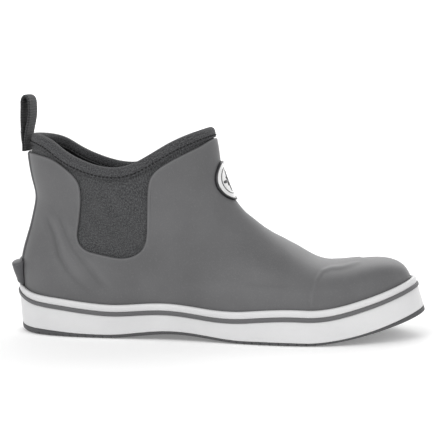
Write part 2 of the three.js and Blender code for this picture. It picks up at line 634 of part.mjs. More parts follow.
function finish(color, roughness, metalness = 0) {
  return new THREE.MeshStandardMaterial({ color, roughness, metalness });
}
const pieces = [
  ['outsole', outsole(), finish(0x4a4b4d, 0.8)],
  ['midsole', midsole(), finish(0x8f8a80, 0.9)],
  ['shank', shankPiece(0), finish(0xb0b2b5, 0.35, 0.9)],
  ['insole_board', insoleBoard(), finish(0xb59b74, 0.9)],
  ['foxing_band', foxingBand(), finish(0xe2e2e2, 0.6)],
  ['foxing_stripe', foxingStripe(), finish(0x6a6b6d, 0.7)],
  ['foxing_bead', foxingBead(), finish(0xe2e2e2, 0.6)],
  ['rubber_upper', rubberUpper(), finish(0x6c6d70, 0.6)],
  ['heel_stay', heelStay(), finish(0x55565a, 0.6)],
  ['kick_tab', kickTab(), finish(0x5a5b5e, 0.7)],
  ['toe_puff', toePuff(), finish(0xcfc7b0, 0.8)],
  ['heel_counter', heelCounter(), finish(0xcfc7b0, 0.8)],
  ['neoprene_bootie', neopreneBootie(), finish(0x46474a, 0.95)],
  ['collar_binding', collarBinding(), finish(0x3c3d40, 0.95)],
  ['collar_stitching', collarStitching(), finish(0x232426, 0.9)],
  ['pull_loop', pullLoop(), finish(0x606265, 0.95)],
  ['loop_tack', loopTack(), finish(0x232426, 0.9)],
  ['badge_rim', badgeRim(), finish(0x1c1d1f, 0.5)],
  ['badge_face', badgeFace(), finish(0xf0f0f0, 0.5)],
  ['badge_emblem', badgeEmblem(), finish(0x3a3c40, 0.5)],
  ['footbed', footbed(), finish(0x3a3d42, 0.9)],
  ['footbed_cover', footbedCover(), finish(0x2c2e32, 0.95)],
  ['heel_pad', heelPad(), finish(0x9aa1a8, 0.9)],
];
for (const [name, shape, material] of pieces) {
  const mesh = new THREE.Mesh(shape, material);
  mesh.name = name;
  boot.add(mesh);
}

// origin under the middle of the bounding box
const bounds = new THREE.Box3().setFromObject(boot);
boot.position.set(-(bounds.min.x + bounds.max.x) / 2, -(bounds.min.y + bounds.max.y) / 2, -bounds.min.z);
boot.updateMatrixWorld(true);

export default boot;
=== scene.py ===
"""Ankle deck boot for the right foot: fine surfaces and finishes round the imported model.

Inside the classes a length is in millimetres and x runs from behind the heel to the toe, as on a
last. Last.place turns such points into the frame's metres. The outer side of the foot is at -y.
"""
import logging
import math
from dataclasses import dataclass
from enum import Enum
from functools import partialmethod
from typing import Callable, Optional, Sequence, Union

import bmesh
import bpy
import numpy as np
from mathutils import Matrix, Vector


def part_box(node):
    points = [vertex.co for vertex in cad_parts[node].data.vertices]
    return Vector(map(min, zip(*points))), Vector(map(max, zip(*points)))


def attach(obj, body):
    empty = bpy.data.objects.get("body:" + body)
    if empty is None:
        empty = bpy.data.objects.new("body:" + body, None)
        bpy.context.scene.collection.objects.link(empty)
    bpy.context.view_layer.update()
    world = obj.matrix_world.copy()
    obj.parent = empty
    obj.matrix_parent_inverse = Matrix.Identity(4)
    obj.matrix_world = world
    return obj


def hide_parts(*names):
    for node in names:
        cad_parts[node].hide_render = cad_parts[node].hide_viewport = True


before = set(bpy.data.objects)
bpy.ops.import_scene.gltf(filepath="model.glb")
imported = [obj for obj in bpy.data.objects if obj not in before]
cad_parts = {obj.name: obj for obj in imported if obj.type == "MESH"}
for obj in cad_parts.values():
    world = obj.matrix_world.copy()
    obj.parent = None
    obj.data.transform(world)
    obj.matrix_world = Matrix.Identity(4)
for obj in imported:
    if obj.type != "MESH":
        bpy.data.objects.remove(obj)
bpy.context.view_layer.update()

Array = np.ndarray
Level = Callable[[Array], Array]
Colour = tuple[float, float, float]
log = logging.getLogger("deck_boot")

HEEL_PAD_X = 52.0      # the heel pad's middle on the last, which ties the last to the frame
GAP = 0.3              # clearance between bonded pieces
RUBBER = 1.8           # the upper's wall
NEOPRENE = 3.2         # the bootie's wall
FOXING = 3.0           # foxing band and bead
BOARD = 2.0            # insole board
SOCK = 2.2             # the bootie's floor
PAD = 2.4              # heel pad
STIFF_ROOM = 2.6       # room for a stiffener between rubber and bootie
TINY = 1e-4            # step of a numerical slope


# ---- small mathematics ----
def smooth(t: Array) -> Array:
    """Cubic step: three t squared less two t cubed, with t held in 0..1."""
    t = np.clip(t, 0, 1)
    return t * t * (3 - 2 * t)


def mix(a: Array, b: Array, t: Array) -> Array:
    """Straight blend: a plus t times the difference of b and a."""
    return a + (b - a) * t


def bell(distance: Array, width: float) -> Array:
    """Bell curve: e to the minus square of distance over width."""
    return np.exp(-(distance / width) ** 2)


def unit(vectors: Array) -> Array:
    """Vectors divided by their lengths."""
    return vectors / np.linalg.norm(vectors, axis=-1, keepdims=True)


def turns(count: int) -> Array:
    """Equally spaced angles once round."""
    return np.linspace(0, 2 * np.pi, count, endpoint=False)


def squared(wave: Array) -> Array:
    """A sine or cosine flattened towards -1 and 1: its fourth root, with its sign."""
    return np.sign(wave) * np.abs(wave) ** 0.25


def reach_of(theta: Array) -> Array:
    """Share of the way from heel to toe at an angle: half of one less its cosine."""
    return (1 - np.cos(theta)) / 2


def new_object(name: str, data: bpy.types.ID) -> bpy.types.Object:
    """Adds an object with this data to the scene."""
    made = bpy.data.objects.new(name, data)
    bpy.context.scene.collection.objects.link(made)
    return made


def spline(xs: Sequence[float], ys: Sequence) -> Callable[[Array], Array]:
    """Natural cubic spline through points.

    Args:
        xs: rising positions.
        ys: a value or a row of values for each.

    Returns:
        A function of positions. Each span is the cubic whose second slopes match its neighbours'.
    """
    x, y = np.asarray(xs, float), np.asarray(ys, float)
    gaps = np.diff(x)
    count = len(x)
    system, right = np.eye(count), np.zeros_like(y)
    for i in range(1, count - 1):
        system[i, i - 1:i + 2] = gaps[i - 1], 2 * (gaps[i - 1] + gaps[i]), gaps[i]
        right[i] = 6 * ((y[i + 1] - y[i]) / gaps[i] - (y[i] - y[i - 1]) / gaps[i - 1])
    bend = np.linalg.solve(system, right)

    def at(positions: Array) -> Array:
        """Values of the spline at positions."""
        p = np.asarray(positions, float)
        i = np.clip(np.searchsorted(x, p, side="right") - 1, 0, count - 2)
        h, t = gaps[i], p - x[i]
        if y.ndim > 1:
            h, t = h[..., None], t[..., None]
        slope = (y[i + 1] - y[i]) / h - h * (2 * bend[i] + bend[i + 1]) / 6
        return y[i] + slope * t + bend[i] / 2 * t * t + (bend[i + 1] - bend[i]) / (6 * h) * t ** 3

    return at


def chords(points: Array) -> Array:
    """Length from the first point along straight chords, for each point."""
    return np.r_[0, np.cumsum(np.linalg.norm(np.diff(points, axis=0), axis=1))]


def curve(points: Sequence) -> Callable[[Array], Array]:
    """Smooth curve through points; its parameter runs 0..1 in proportion to chord length."""
    p = np.asarray(points, float)
    lengths = chords(p)
    return spline(lengths / lengths[-1], p)


def blurred(row: Array) -> Array:
    """Row averaged with bell-shaped weights; past its ends it is carried on by point symmetry."""
    weights = bell(np.arange(-9, 10), 4.5)
    padded = np.concatenate([2 * row[0] - row[9:0:-1], row, 2 * row[-1] - row[-2:-11:-1]])
    return np.convolve(padded, weights / weights.sum(), "valid")


def ripples(points: Array, wavelength: float, seed: int, count: int = 12) -> Array:
    """Gentle irregular height: the mean of plane sine waves in seeded random directions.

    Args:
        points: array of points.
        wavelength: typical distance between crests, in the points' unit.
        seed: seed of the random directions and phases.
        count: number of waves.

    Returns:
        Heights of about -1..1, one for each point.
    """
    dice = np.random.default_rng(seed)
    ways = dice.normal(size=(count, 3))
    ways *= (2 * np.pi / wavelength * dice.uniform(0.6, 1.6, count) / np.linalg.norm(ways, axis=1))[:, None]
    phases = dice.uniform(0, 2 * np.pi, count)
    total = sum(np.sin(points @ way + phase) for way, phase in zip(ways, phases))
    return total / math.sqrt(count)


def distance_to(x: Array, z: Array, path: Sequence[tuple[float, float]]) -> Array:
    """Distance in the side view from points to the nearest straight piece of a path."""
    p = np.stack([x, z], -1)
    knots = np.asarray(path, float)
    best = np.full(x.shape, np.inf)
    for a, b in zip(knots[:-1], knots[1:]):
        t = np.clip(((p - a) @ (b - a)) / ((b - a) @ (b - a)), 0, 1)
        best = np.minimum(best, np.linalg.norm(p - a - t[..., None] * (b - a), axis=-1))
    return best


# ---- the last ----
@dataclass
class Last:
    """The boot's outer skin and the levels of its sole.

    A point of the skin has an angle theta round the foot (0 heel, pi toe, the outer side between)
    and a height share v (0 top of the foxing, 1 top line of the collar).
    """

    shift: Array
    heel_end: float = 4.2
    toe_end: float = 294.4
    foxing_height: float = 22.0
    heel_flat: tuple[float, float] = (20, 72)
    ball_flat: tuple[float, float] = (178, 222)
    shin: float = 156.0
    collar_ends: tuple[float, float] = (13, 147.5)

    def __post_init__(self) -> None:
        """Prepares the outline curves."""
        self.edge = spline([0, 20, 50, 100, 150, 209, 265, 290, 306],
                           [3.6, 4, 2.5, 2.2, 1.7, 1.8, 1.6, 3, 3.9])
        self.rise = spline([0, 15, 40, 70, 110, 150, 210, 235, 260, 280, 295],
                           [8.2, 4.3, 2.4, 0.3, -1.6, -2.9, 1.2, 0.9, 1.9, 2.1, 2.3])
        self.midsole = spline([0, 60, 130, 200, 250, 300], [11, 11, 9.5, 7.4, 6.5, 6])
        self.bed = spline([0, 70, 150, 210, 300], [5.2, 5.2, 5, 3.8, 3.4])
        nominal = spline([0, 15, 40, 70, 110, 150, 210, 235, 260, 280, 294.4],
                         [34.9, 31.3, 27.2, 24.7, 25, 25, 25, 26.8, 31.2, 37.6, 45.3])

        def raised(points: Sequence) -> Array:
            """Outline points moved with the foxing's real top."""
            p = np.asarray(points, float)
            return np.stack([p[:, 0], self.foxing_top(p[:, 0]) + p[:, 1] - nominal(p[:, 0])], 1)

        back = raised([(4.2, 34.9), (4.0, 54), (7.4, 69), (10.6, 80), (13.4, 92), (14.9, 103), (12.6, 114),
                       (10.2, 126), (9.6, 138), (13.0, 149.5)])
        ridge = raised([(294.4, 45.3), (289.5, 52.3), (280, 55.9), (262, 56.3), (243, 56), (228, 57),
                        (212, 64), (194, 74.2), (176, 88), (164, 102), (157, 116), (153.3, 131), (151, 145),
                        (147.5, 155.3)])
        self.back, self.ridge = curve(back), curve(ridge)
        shares = np.array([0, 0.067, 0.127, 0.18, 0.235, 0.3, 0.38, 0.46, 0.54, 0.64, 0.8, 1])
        line = [149.5, 147.3, 143.2, 137.9, 133.2, 129.3, 126, 124.4, 124.5, 128.5, 141, 155.3]
        collar = raised(np.stack([mix(13, 147.5, shares), line], 1))
        self.collar = spline(shares, collar[:, 1])
        stations = np.linspace(0, 1, 6)
        widths = [(64, 45, 36.5, 47, 62, 65), (67, 46.5, 38.5, 39, 45, 50), (34, 39.5, 38, 39, 40, 45),
                  (40, 35, 36.5, 36.5, 37, 38), (43, 43, 42.5, 42, 41, 40)]
        self.rings = [spline(stations, row) for row in widths]
        self.centre = spline(stations, [0, 0, -2.5, -2, 2, 7])
        self.round = spline([100, 165, 185, 205, 235, 270, 300], [-0.45, -0.45, -0.3, -0.05, 0.2, 0.28, 0.28])
        self.lean = spline([0, 0.15, 0.4, 0.7, 0.9, 1], [-2.2, -0.5, 1, 2, 4.5, 7.3])
        fine = self.ridge(np.linspace(1, 0, 8001))
        self._ridge_x, self._ridge_z = fine[:, 0], fine[:, 1]
        self._drop = spline([0, 0.2, 0.4, 0.8, 1], [15.5, 12.6, 11.2, 10.4, 9.4])

    # levels of the sole
    def ground(self, x: Array) -> Array:
        """Underside: flat at heel and ball, a squared-sine arch between, rolled up at both ends."""
        x = np.asarray(x, float)
        heel, ball = self.heel_flat, self.ball_flat
        arch = 4.1 * np.sin(np.pi * (x - heel[1]) / (ball[0] - heel[1])) ** 2
        toe = 0.0241 * np.clip(x - ball[1], 0, None) ** 1.5
        return np.select([x < heel[0], x < heel[1], x < ball[0], x < ball[1]],
                         [3 * ((heel[0] - x) / 20) ** 2, 0 * x, arch, 0 * x], toe)

    def sole_edge(self, x: Array) -> Array:
        """Top of the outsole's visible edge."""
        return self.ground(x) + self.edge(x)

    def foxing_top(self, x: Array) -> Array:
        """Top of the foxing."""
        return self.sole_edge(x) + self.foxing_height + self.rise(x)

    def midsole_top(self, x: Array) -> Array:
        """Top of the foam filler."""
        return self.sole_edge(x) + self.midsole(x)

    def sock_top(self, x: Array) -> Array:
        """Top of the bootie's floor: the filler, the board and the sock, each with its gap."""
        return self.midsole_top(x) + GAP + BOARD + GAP + SOCK

    def bed_top(self, x: Array) -> Array:
        """Top of the footbed's foam."""
        return self.sock_top(x) + GAP + self.bed(x)

    # the skin
    def side(self, g: Array, v: Array) -> tuple[Array, Array]:
        """Side view of the skin: a Coons patch between foxing line, collar, heel and ridge.

        Args:
            g: share from heel (0) to toe (1).
            v: height share.

        Returns:
            x and z.
        """
        g, v = np.broadcast_arrays(np.asarray(g, float), np.asarray(v, float))
        base = mix(self.heel_end, self.toe_end, g)
        low = np.stack([base, self.foxing_top(base)], -1)
        high = np.stack([mix(*self.collar_ends, g), self.collar(g)], -1)
        rear, front = self.back(v), self.ridge(v)
        G, V = g[..., None], v[..., None]
        corners = (self.back(0.0), self.ridge(0.0), self.back(1.0), self.ridge(1.0))
        p = ((1 - V) * low + V * high + (1 - G) * rear + G * front
             - ((1 - G) * (1 - V) * corners[0] + G * (1 - V) * corners[1]
                + (1 - G) * V * corners[2] + G * V * corners[3]))
        return p[..., 0], p[..., 1]

    def roof(self, x: Array) -> Array:
        """Height of the ridge at x, carried on straight behind the shin."""
        foot = np.interp(self.shin, self._ridge_x, self._ridge_z)
        slope = np.interp(self.shin + 1, self._ridge_x, self._ridge_z) - foot
        return np.where(x < self.shin, foot + slope * (x - self.shin),
                        np.interp(x, self._ridge_x, self._ridge_z))

    def half_width(self, sine: Array, g: Array, v: Array, x: Array, z: Array) -> Array:
        """Half width: Bernstein-blended oval rings in the shaft, a dome under the ridge in the forefoot."""
        ring = sum(c * v ** k * (1 - v) ** (4 - k) * self.rings[k](g) for k, c in enumerate((1, 4, 6, 4, 1)))
        share = smooth((x - 105) / 60) * (1 - smooth((z - 72) / 50))
        flat = np.clip((x - self.heel_end) / (self.toe_end - self.heel_end), 0, 1)
        base = 2 * np.sqrt(flat * (1 - flat)) * self.rings[0](flat)
        low = self.foxing_top(x)
        t = np.clip((z - low) / (self.roof(x) - low + 1e-9), 0, 1)
        dome = base * np.sqrt(1 - t * t) * (1 + self.round(x) * t * t)
        return np.where(sine < 1e-9, 0, mix(sine * ring, dome, share))

    def point(self, theta: Array, v: Array) -> Array:
        """Point of the skin."""
        theta, v = np.broadcast_arrays(np.asarray(theta, float), np.asarray(v, float))
        g, sine = reach_of(theta), np.sin(theta)
        x, z = self.side(g, v)
        width = self.half_width(np.abs(sine), g, v, x, z)
        return np.stack([x, self.centre(g) * (1 - v) ** 2 - np.sign(sine) * width, z], -1)

    def plan_normal(self, theta: Array) -> Array:
        """Level direction out of the foxing line."""
        t = self.point(theta + 1e-3, 0.0) - self.point(theta - 1e-3, 0.0)
        n = np.stack([t[..., 1], -t[..., 0], 0 * t[..., 0]], -1)
        return unit(n)

    def outward(self, theta: Array, v: Array) -> Array:
        """Direction out of the skin: its normal, turning level towards the foxing line."""
        theta, v = np.broadcast_arrays(np.asarray(theta, float), np.asarray(v, float))
        low, high = np.maximum(v - 1e-3, 0), np.minimum(np.maximum(v, 0) + 1e-3, 1)
        around = self.point(theta + 1e-3, v) - self.point(theta - 1e-3, v)
        up = self.point(theta, high) - self.point(theta, low)
        n = mix(self.plan_normal(theta), unit(np.cross(around, up)), smooth(v / 0.08)[..., None])
        return unit(n)

    def skin(self, theta: Array, v: Array, out: Array) -> Array:
        """Skin moved out along its direction: point plus out times outward."""
        return self.point(theta, v) + np.asarray(out, float)[..., None] * self.outward(theta, v)

    def wall(self, theta: Array, z: Array, out: Array) -> Array:
        """Sole wall under the foxing line, leaning out in proportion to the way down."""
        top = self.point(theta, 0.0)
        g = reach_of(theta)
        down = (top[..., 2] - z) / (top[..., 2] - self.sole_edge(top[..., 0]))
        p = top + (self.lean(g) * down + out)[..., None] * self.plan_normal(theta)
        p[..., 2] = z
        return p

    def on_level(self, theta: Array, level: Level, out: Array) -> Array:
        """Wall point at a level that is itself a function of x, found in four rounds."""
        z = level(self.point(theta, 0.0)[..., 0])
        for _ in range(3):
            z = level(self.wall(theta, z, out)[..., 0])
        return self.wall(theta, z, out)

    def middle(self, theta: Array, level: Level) -> Array:
        """Middle line of a flat piece, where its two halves meet."""
        g = reach_of(theta)
        x = mix(self.heel_end + 30, self.toe_end - 36, g)
        return np.stack([x, self.centre(g), level(x)], -1)

    def inward(self, theta: Array, level: Level, out: Array, share: float) -> Array:
        """Ring of a flat piece at a share of the way from the wall to the middle line."""
        p = mix(self.on_level(theta, level, out), self.middle(theta, level), share)
        p[:, 2] = level(p[:, 0])
        return p

    def below_collar(self, theta: Array, distance: Array) -> Array:
        """Height share at a distance down from the collar's top line."""
        step = 0.1 / np.linalg.norm(self.point(theta, 1.0) - self.point(theta, 0.9), axis=-1)
        return 1 - distance * step

    def rubber_edge(self, theta: Array) -> Array:
        """Height share of the rubber's top edge."""
        return self.below_collar(theta, self._drop(reach_of(theta)))

    def locate(self, target: Array, theta: Array, v: Array) -> tuple[Array, Array]:
        """Angle and height share of the skin's nearest point to each target, by Gauss-Newton steps."""
        theta, v = np.array(theta, float), np.array(v, float)
        for _ in range(10):
            a = (self.point(theta + TINY, v) - self.point(theta - TINY, v)) / (2 * TINY)
            b = (self.point(theta, v + TINY) - self.point(theta, v - TINY)) / (2 * TINY)
            miss = target - self.point(theta, v)
            aa, ab, bb = (a * a).sum(-1), (a * b).sum(-1), (b * b).sum(-1)
            ra, rb = (a * miss).sum(-1), (b * miss).sum(-1)
            det = aa * bb - ab * ab
            theta = theta + np.clip((ra * bb - rb * ab) / det, -0.2, 0.2)
            v = v + np.clip((rb * aa - ra * ab) / det, -0.1, 0.1)
        return theta, v

    def locate_side(self, x: Array, z: Array) -> tuple[Array, Array]:
        """Angle and height share of points given in the side view, by Newton steps."""
        x, z = np.asarray(x, float), np.asarray(z, float)
        v = np.clip((z - 25) / 115, 0, 1)
        g = (x - self.back(v)[..., 0]) / (self.ridge(v)[..., 0] - self.back(v)[..., 0])
        for _ in range(14):
            px, pz = self.side(g, v)
            ax, az = self.side(g + 1e-5, v)
            bx, bz = self.side(g, v + 1e-5)
            ax, az, bx, bz = (ax - px) / 1e-5, (az - pz) / 1e-5, (bx - px) / 1e-5, (bz - pz) / 1e-5
            det = ax * bz - az * bx
            g = np.clip(g + ((x - px) * bz - (z - pz) * bx) / det, 0.001, 0.999)
            v = v + ((z - pz) * ax - (x - px) * az) / det
        return np.arccos(1 - 2 * g), v

    def even_angles(self, count: int, v: float = 0.0) -> Array:
        """Even number of angles, the same on both sides, equally spaced along the skin at height share v."""
        theta = np.linspace(0, np.pi, 2001)
        lengths = chords(self.point(theta, v))
        half = np.interp(np.linspace(0, lengths[-1], count // 2 + 1), lengths, theta)
        return np.r_[half, 2 * np.pi - half[-2:0:-1]]

    def place(self, points: Array) -> Array:
        """Points on the last, in millimetres, as points of the frame, in metres."""
        return points / 1000 + self.shift


# ---- meshes ----
def spread_of(points: Array, around: bool, across: bool) -> Array:
    """Flat coordinates of a grid, in metres.

    Args:
        points: grid of rows and columns, in millimetres.
        around: the last column joins the first.
        across: the last row joins the first.

    Returns:
        For each corner, the mean length along the rows and the mean length along the columns.
    """
    p = np.concatenate([points, points[:, :1]], 1) if around else points
    p = np.concatenate([p, p[:1]], 0) if across else p
    u = np.linalg.norm(np.diff(p, axis=1), axis=-1).max(0)
    v = np.linalg.norm(np.diff(p, axis=0), axis=-1).mean(1)
    u, v = np.r_[0, np.cumsum(u)], np.r_[0, np.cumsum(v)]
    return np.stack(np.broadcast_arrays(u[None, :], v[:, None]), -1) / 1000


def grid_piece(name: str, last: Last, points: Array, around: bool = False, across: bool = False,
               facing: Optional[Array] = None, **marks: Array) -> bpy.types.Object:
    """Makes one smooth piece from a grid of points.

    Args:
        name: the piece's name.
        last: the last, which places it.
        points: grid of rows and columns, in millimetres.
        around: the last column joins the first.
        across: the last row joins the first.
        facing: not used; it would be a point, for a grid that isn't closed, on the side its faces turn from.
        marks: a value for each point, kept as an attribute of that name.

    Returns:
        The new object. Its faces turn outwards: they are turned round if their signed volume,
        a sixth of the sum of each face's triple products, is negative.
    """
    rows, columns = points.shape[:2]
    i, j = np.meshgrid(np.arange(rows if across else rows - 1), np.arange(columns if around else columns - 1),
                       indexing="ij")
    corners = ((i, j), (i, j + 1), (i + 1, j + 1), (i + 1, j))
    faces = np.stack([(a % rows) * columns + b % columns for a, b in corners], -1).reshape(-1, 4)
    spread = spread_of(points, around, across)
    flat = np.stack([spread[a, b] for a, b in corners], -2).reshape(-1, 4, 2)
    placed = last.place(points.reshape(-1, 3))
    return face_piece(name, placed, faces, flat, **marks)


def inside_out(corners: Array, centre: Array) -> bool:
    """Whether four-sided faces enclose a negative volume: the sum of each face's triple products."""
    a, b, c, d = (corners[:, k] - centre for k in range(4))
    return (np.cross(a, b) * c).sum() + (np.cross(a, c) * d).sum() < 0


def face_piece(name: str, placed: Array, faces: Array, flat: Array, **marks: Array) -> bpy.types.Object:
    """Makes a smooth piece whose faces turn outwards and whose touching points are joined."""
    if inside_out(placed[faces], placed.mean(0)):
        faces, flat = faces[:, ::-1], flat[:, ::-1]
    piece = loose_piece(name, placed, faces, flat)
    mesh = piece.data
    for mark, values in marks.items():
        attribute = mesh.attributes.new(mark, "FLOAT", "POINT")
        attribute.data.foreach_set("value", np.asarray(values, np.float32).ravel())
    work = bmesh.new()
    work.from_mesh(mesh)
    bmesh.ops.remove_doubles(work, verts=work.verts, dist=2e-6)
    bmesh.ops.dissolve_degenerate(work, edges=work.edges, dist=1e-7)
    work.to_mesh(mesh)
    work.free()
    mesh.polygons.foreach_set("use_smooth", np.ones(len(mesh.polygons), bool))
    return piece


def capped(name: str, last: Last, grid: Array, share: float = 0.5) -> bpy.types.Object:
    """Tube-like grid closed at both ends: each last section is drawn in by a share, then to its middle."""
    ends = [np.broadcast_to(row.mean(0), row.shape) for row in (grid[0], grid[-1])]
    inset = [mix(row, end, share) for row, end in zip((grid[0], grid[-1]), ends)]
    full = np.concatenate([ends[0][None], inset[0][None], grid, inset[1][None], ends[1][None]])
    return grid_piece(name, last, full, around=True)


def fit(piece: bpy.types.Object, body: str, slot: str, material: bpy.types.Material, *nodes: str) -> None:
    """Dresses a piece, lets it ride on a body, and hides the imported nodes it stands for."""
    piece.data.materials.append(material)
    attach(piece, body)
    if nodes:
        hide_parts(*nodes)


# ---- shader maths ----
class Wire:
    """A node's output socket that can be used in arithmetic."""

    def __init__(self, paint: "Paint", socket: bpy.types.NodeSocket) -> None:
        """Keeps the socket and the material it belongs to."""
        self.paint, self.socket = paint, socket

    def act(self, operation: str, *others: "Value") -> "Wire":
        """Math node on this value and others."""
        return self.paint.maths(operation, self, *others)

    def __rsub__(self, other: float) -> "Wire":
        """A number less this value."""
        return self.paint.maths("SUBTRACT", other, self)

    __add__ = __radd__ = partialmethod(act, "ADD")
    __sub__ = partialmethod(act, "SUBTRACT")
    __mul__ = __rmul__ = partialmethod(act, "MULTIPLY")
    __truediv__ = partialmethod(act, "DIVIDE")

    def sine(self) -> "Wire":
        """Sine, of radians."""
        return self.act("SINE")

    def size(self) -> "Wire":
        """Absolute value."""
        return self.act("ABSOLUTE")

    def step(self, low: float, high: float) -> "Wire":
        """Smooth rise from 0 at low to 1 at high."""
        node = self.paint.node("ShaderNodeMapRange", {"interpolation_type": "SMOOTHSTEP"},
                               {"Value": self, "From Min": low, "From Max": high})
        return Wire(self.paint, node.outputs["Result"])


Value = Union[Wire, float, int]


class Coordinates(Enum):
    """Which coordinates a pattern follows."""

    BOOT = "Object"
    SURFACE = "UV"


class Paint:
    """A material under work, round one Principled shader."""

    def __init__(self, name: str, roughness: float, metallic: float = 0.0, sheen: float = 0.0,
                 coat: float = 0.0) -> None:
        """Starts the material and sets what is the same all over it."""
        self.material = bpy.data.materials.new(name)
        self.material.use_nodes = True
        self.tree = self.material.node_tree
        self.shader = self.tree.nodes["Principled BSDF"]
        for socket, value in (("Roughness", roughness), ("Metallic", metallic), ("Sheen Weight", sheen),
                              ("Sheen Roughness", 0.5), ("Coat Weight", coat), ("Coat Roughness", 0.35)):
            self.shader.inputs[socket].default_value = value

    def node(self, kind: str, settings: Optional[dict] = None,
             inputs: Optional[dict] = None) -> bpy.types.Node:
        """Adds a node.

        Args:
            kind: the node's type.
            settings: its properties.
            inputs: values or wires for its sockets.

        Returns:
            The node.
        """
        made = self.tree.nodes.new(kind)
        for key, value in (settings or {}).items():
            setattr(made, key, value)
        for key, value in (inputs or {}).items():
            if isinstance(value, Wire):
                self.tree.links.new(value.socket, made.inputs[key])
            else:
                made.inputs[key].default_value = value
        return made

    def maths(self, operation: str, *values: Value) -> Wire:
        """Math node on values."""
        made = self.node("ShaderNodeMath", {"operation": operation}, dict(enumerate(values)))
        return Wire(self, made.outputs[0])

    def coordinates(self, kind: Coordinates, scale: Colour = (1, 1, 1)) -> Wire:
        """Coordinates of the surface, each multiplied by its scale."""
        source = Wire(self, self.node("ShaderNodeTexCoord").outputs[kind.value])
        made = self.node("ShaderNodeMapping", {"vector_type": "POINT"}, {"Vector": source, "Scale": scale})
        return Wire(self, made.outputs[0])

    def parts(self, vector: Wire) -> tuple[Wire, Wire, Wire]:
        """The three numbers of a vector."""
        made = self.node("ShaderNodeSeparateXYZ", None, {0: vector})
        return tuple(Wire(self, output) for output in made.outputs)

    def noise(self, vector: Wire, scale: float, detail: float = 2.0, rough: float = 0.5) -> Wire:
        """Cloudy value of about 0..1."""
        made = self.node("ShaderNodeTexNoise", None,
                         {"Vector": vector, "Scale": scale, "Detail": detail, "Roughness": rough})
        return Wire(self, made.outputs[0])

    def mark(self, name: str) -> Wire:
        """An attribute of the mesh."""
        return Wire(self, self.node("ShaderNodeAttribute", {"attribute_name": name}).outputs["Fac"])

    def blend(self, share: Value, first: Union[Wire, Colour], second: Union[Wire, Colour]) -> Wire:
        """Colour that goes from first to second with share."""
        made = self.node("ShaderNodeMix", {"data_type": "RGBA"})
        for index, value in ((0, share), (6, first), (7, second)):
            if isinstance(value, Wire):
                self.tree.links.new(value.socket, made.inputs[index])
            else:
                made.inputs[index].default_value = (*value, 1) if isinstance(value, tuple) else value
        return Wire(self, made.outputs[2])

    def clouded(self, clouds: Wire, colour: Colour, less: float, more: float) -> Wire:
        """Colour times less in thin cloud and times more in thick."""
        return self.blend(clouds.step(0.3, 0.7), shade(colour, less), shade(colour, more))

    def bump(self, height: Wire, depth: float, strength: float = 1.0, under: Optional[Wire] = None) -> Wire:
        """Normal of a surface raised by height times depth, in metres."""
        inputs = {"Height": height, "Distance": depth, "Strength": strength}
        if under:
            inputs["Normal"] = under
        return Wire(self, self.node("ShaderNodeBump", None, inputs).outputs[0])

    def done(self, colour: Wire, normal: Wire, roughness: Optional[Wire] = None) -> bpy.types.Material:
        """Connects the shader and gives the material."""
        for socket, wire in (("Base Color", colour), ("Normal", normal), ("Roughness", roughness)):
            if wire:
                self.tree.links.new(wire.socket, self.shader.inputs[socket])
        return self.material


def shade(colour: Colour, times: float) -> Colour:
    """A colour multiplied by a number."""
    return tuple(min(c * times, 1.0) for c in colour)


# ---- finishes ----
@dataclass(frozen=True)
class RubberFinish:
    """Moulded rubber: cloudy tone, fine grain, painted highlight on raised relief and the lip, painted shade in
    the creases, and a little dust low down.
    """

    name: str
    colour: Colour
    roughness: float = 0.55
    cloud: float = 0.10
    speckle: float = 0.10
    grain: float = 900.0
    depth: float = 0.00012
    sheen: float = 0.0
    # Turns on painted highlight and shade from the relief mark, and dust at the flex.
    painted_relief_light_and_dust: bool = False

    def make(self) -> bpy.types.Material:
        """Tone is colour times clouds and speckles; the normal comes from two sizes of grain."""
        paint = Paint(self.name, self.roughness, sheen=self.sheen)
        place = paint.coordinates(Coordinates.BOOT)
        clouds = paint.noise(place, 22, 3, 0.55)
        grains = paint.noise(place, self.grain, 2, 0.6)
        fine = paint.noise(place, self.grain * 2.3, 1)
        tone = paint.clouded(clouds, self.colour, 1 - self.cloud, 1 + self.cloud)
        tone = paint.blend(grains.step(0.52, 0.72) * self.speckle, tone, shade(self.colour, 2.6))
        tone = paint.blend(fine.step(0.55, 0.75) * self.speckle, tone, shade(self.colour, 0.3))
        if self.painted_relief_light_and_dust:
            # Painted light from the relief mark: a painted highlight where it is raised (ridges and the lip),
            # painted shade where it dips into a crease.
            relief = paint.mark("relief")
            tone = paint.blend(relief.step(0.0, 0.9) * 0.35, tone, shade(self.colour, 1.7))
            tone = paint.blend((0 - relief).step(0.0, 0.9) * 0.3, tone, shade(self.colour, 0.55))
            x, _, z = paint.parts(place)
            flex = 1 - ((x - 0.035) / 0.05).size().step(0.3, 1.0)
            flex = flex * z.step(0.035, 0.05) * (1 - z.step(0.06, 0.085))
            dust = paint.noise(paint.coordinates(Coordinates.BOOT, (1.6, 1, 0.55)), 1500, 2, 0.7)
            tone = paint.blend(flex * dust.step(0.55, 0.7) * 0.22, tone, shade(self.colour, 2.4))
        rough = clouds * 0.14 + grains * 0.1 + (self.roughness - 0.12)
        normal = paint.bump(grains, self.depth, 0.5)
        return paint.done(tone, paint.bump(fine, self.depth * 0.4, 0.4, normal), rough)


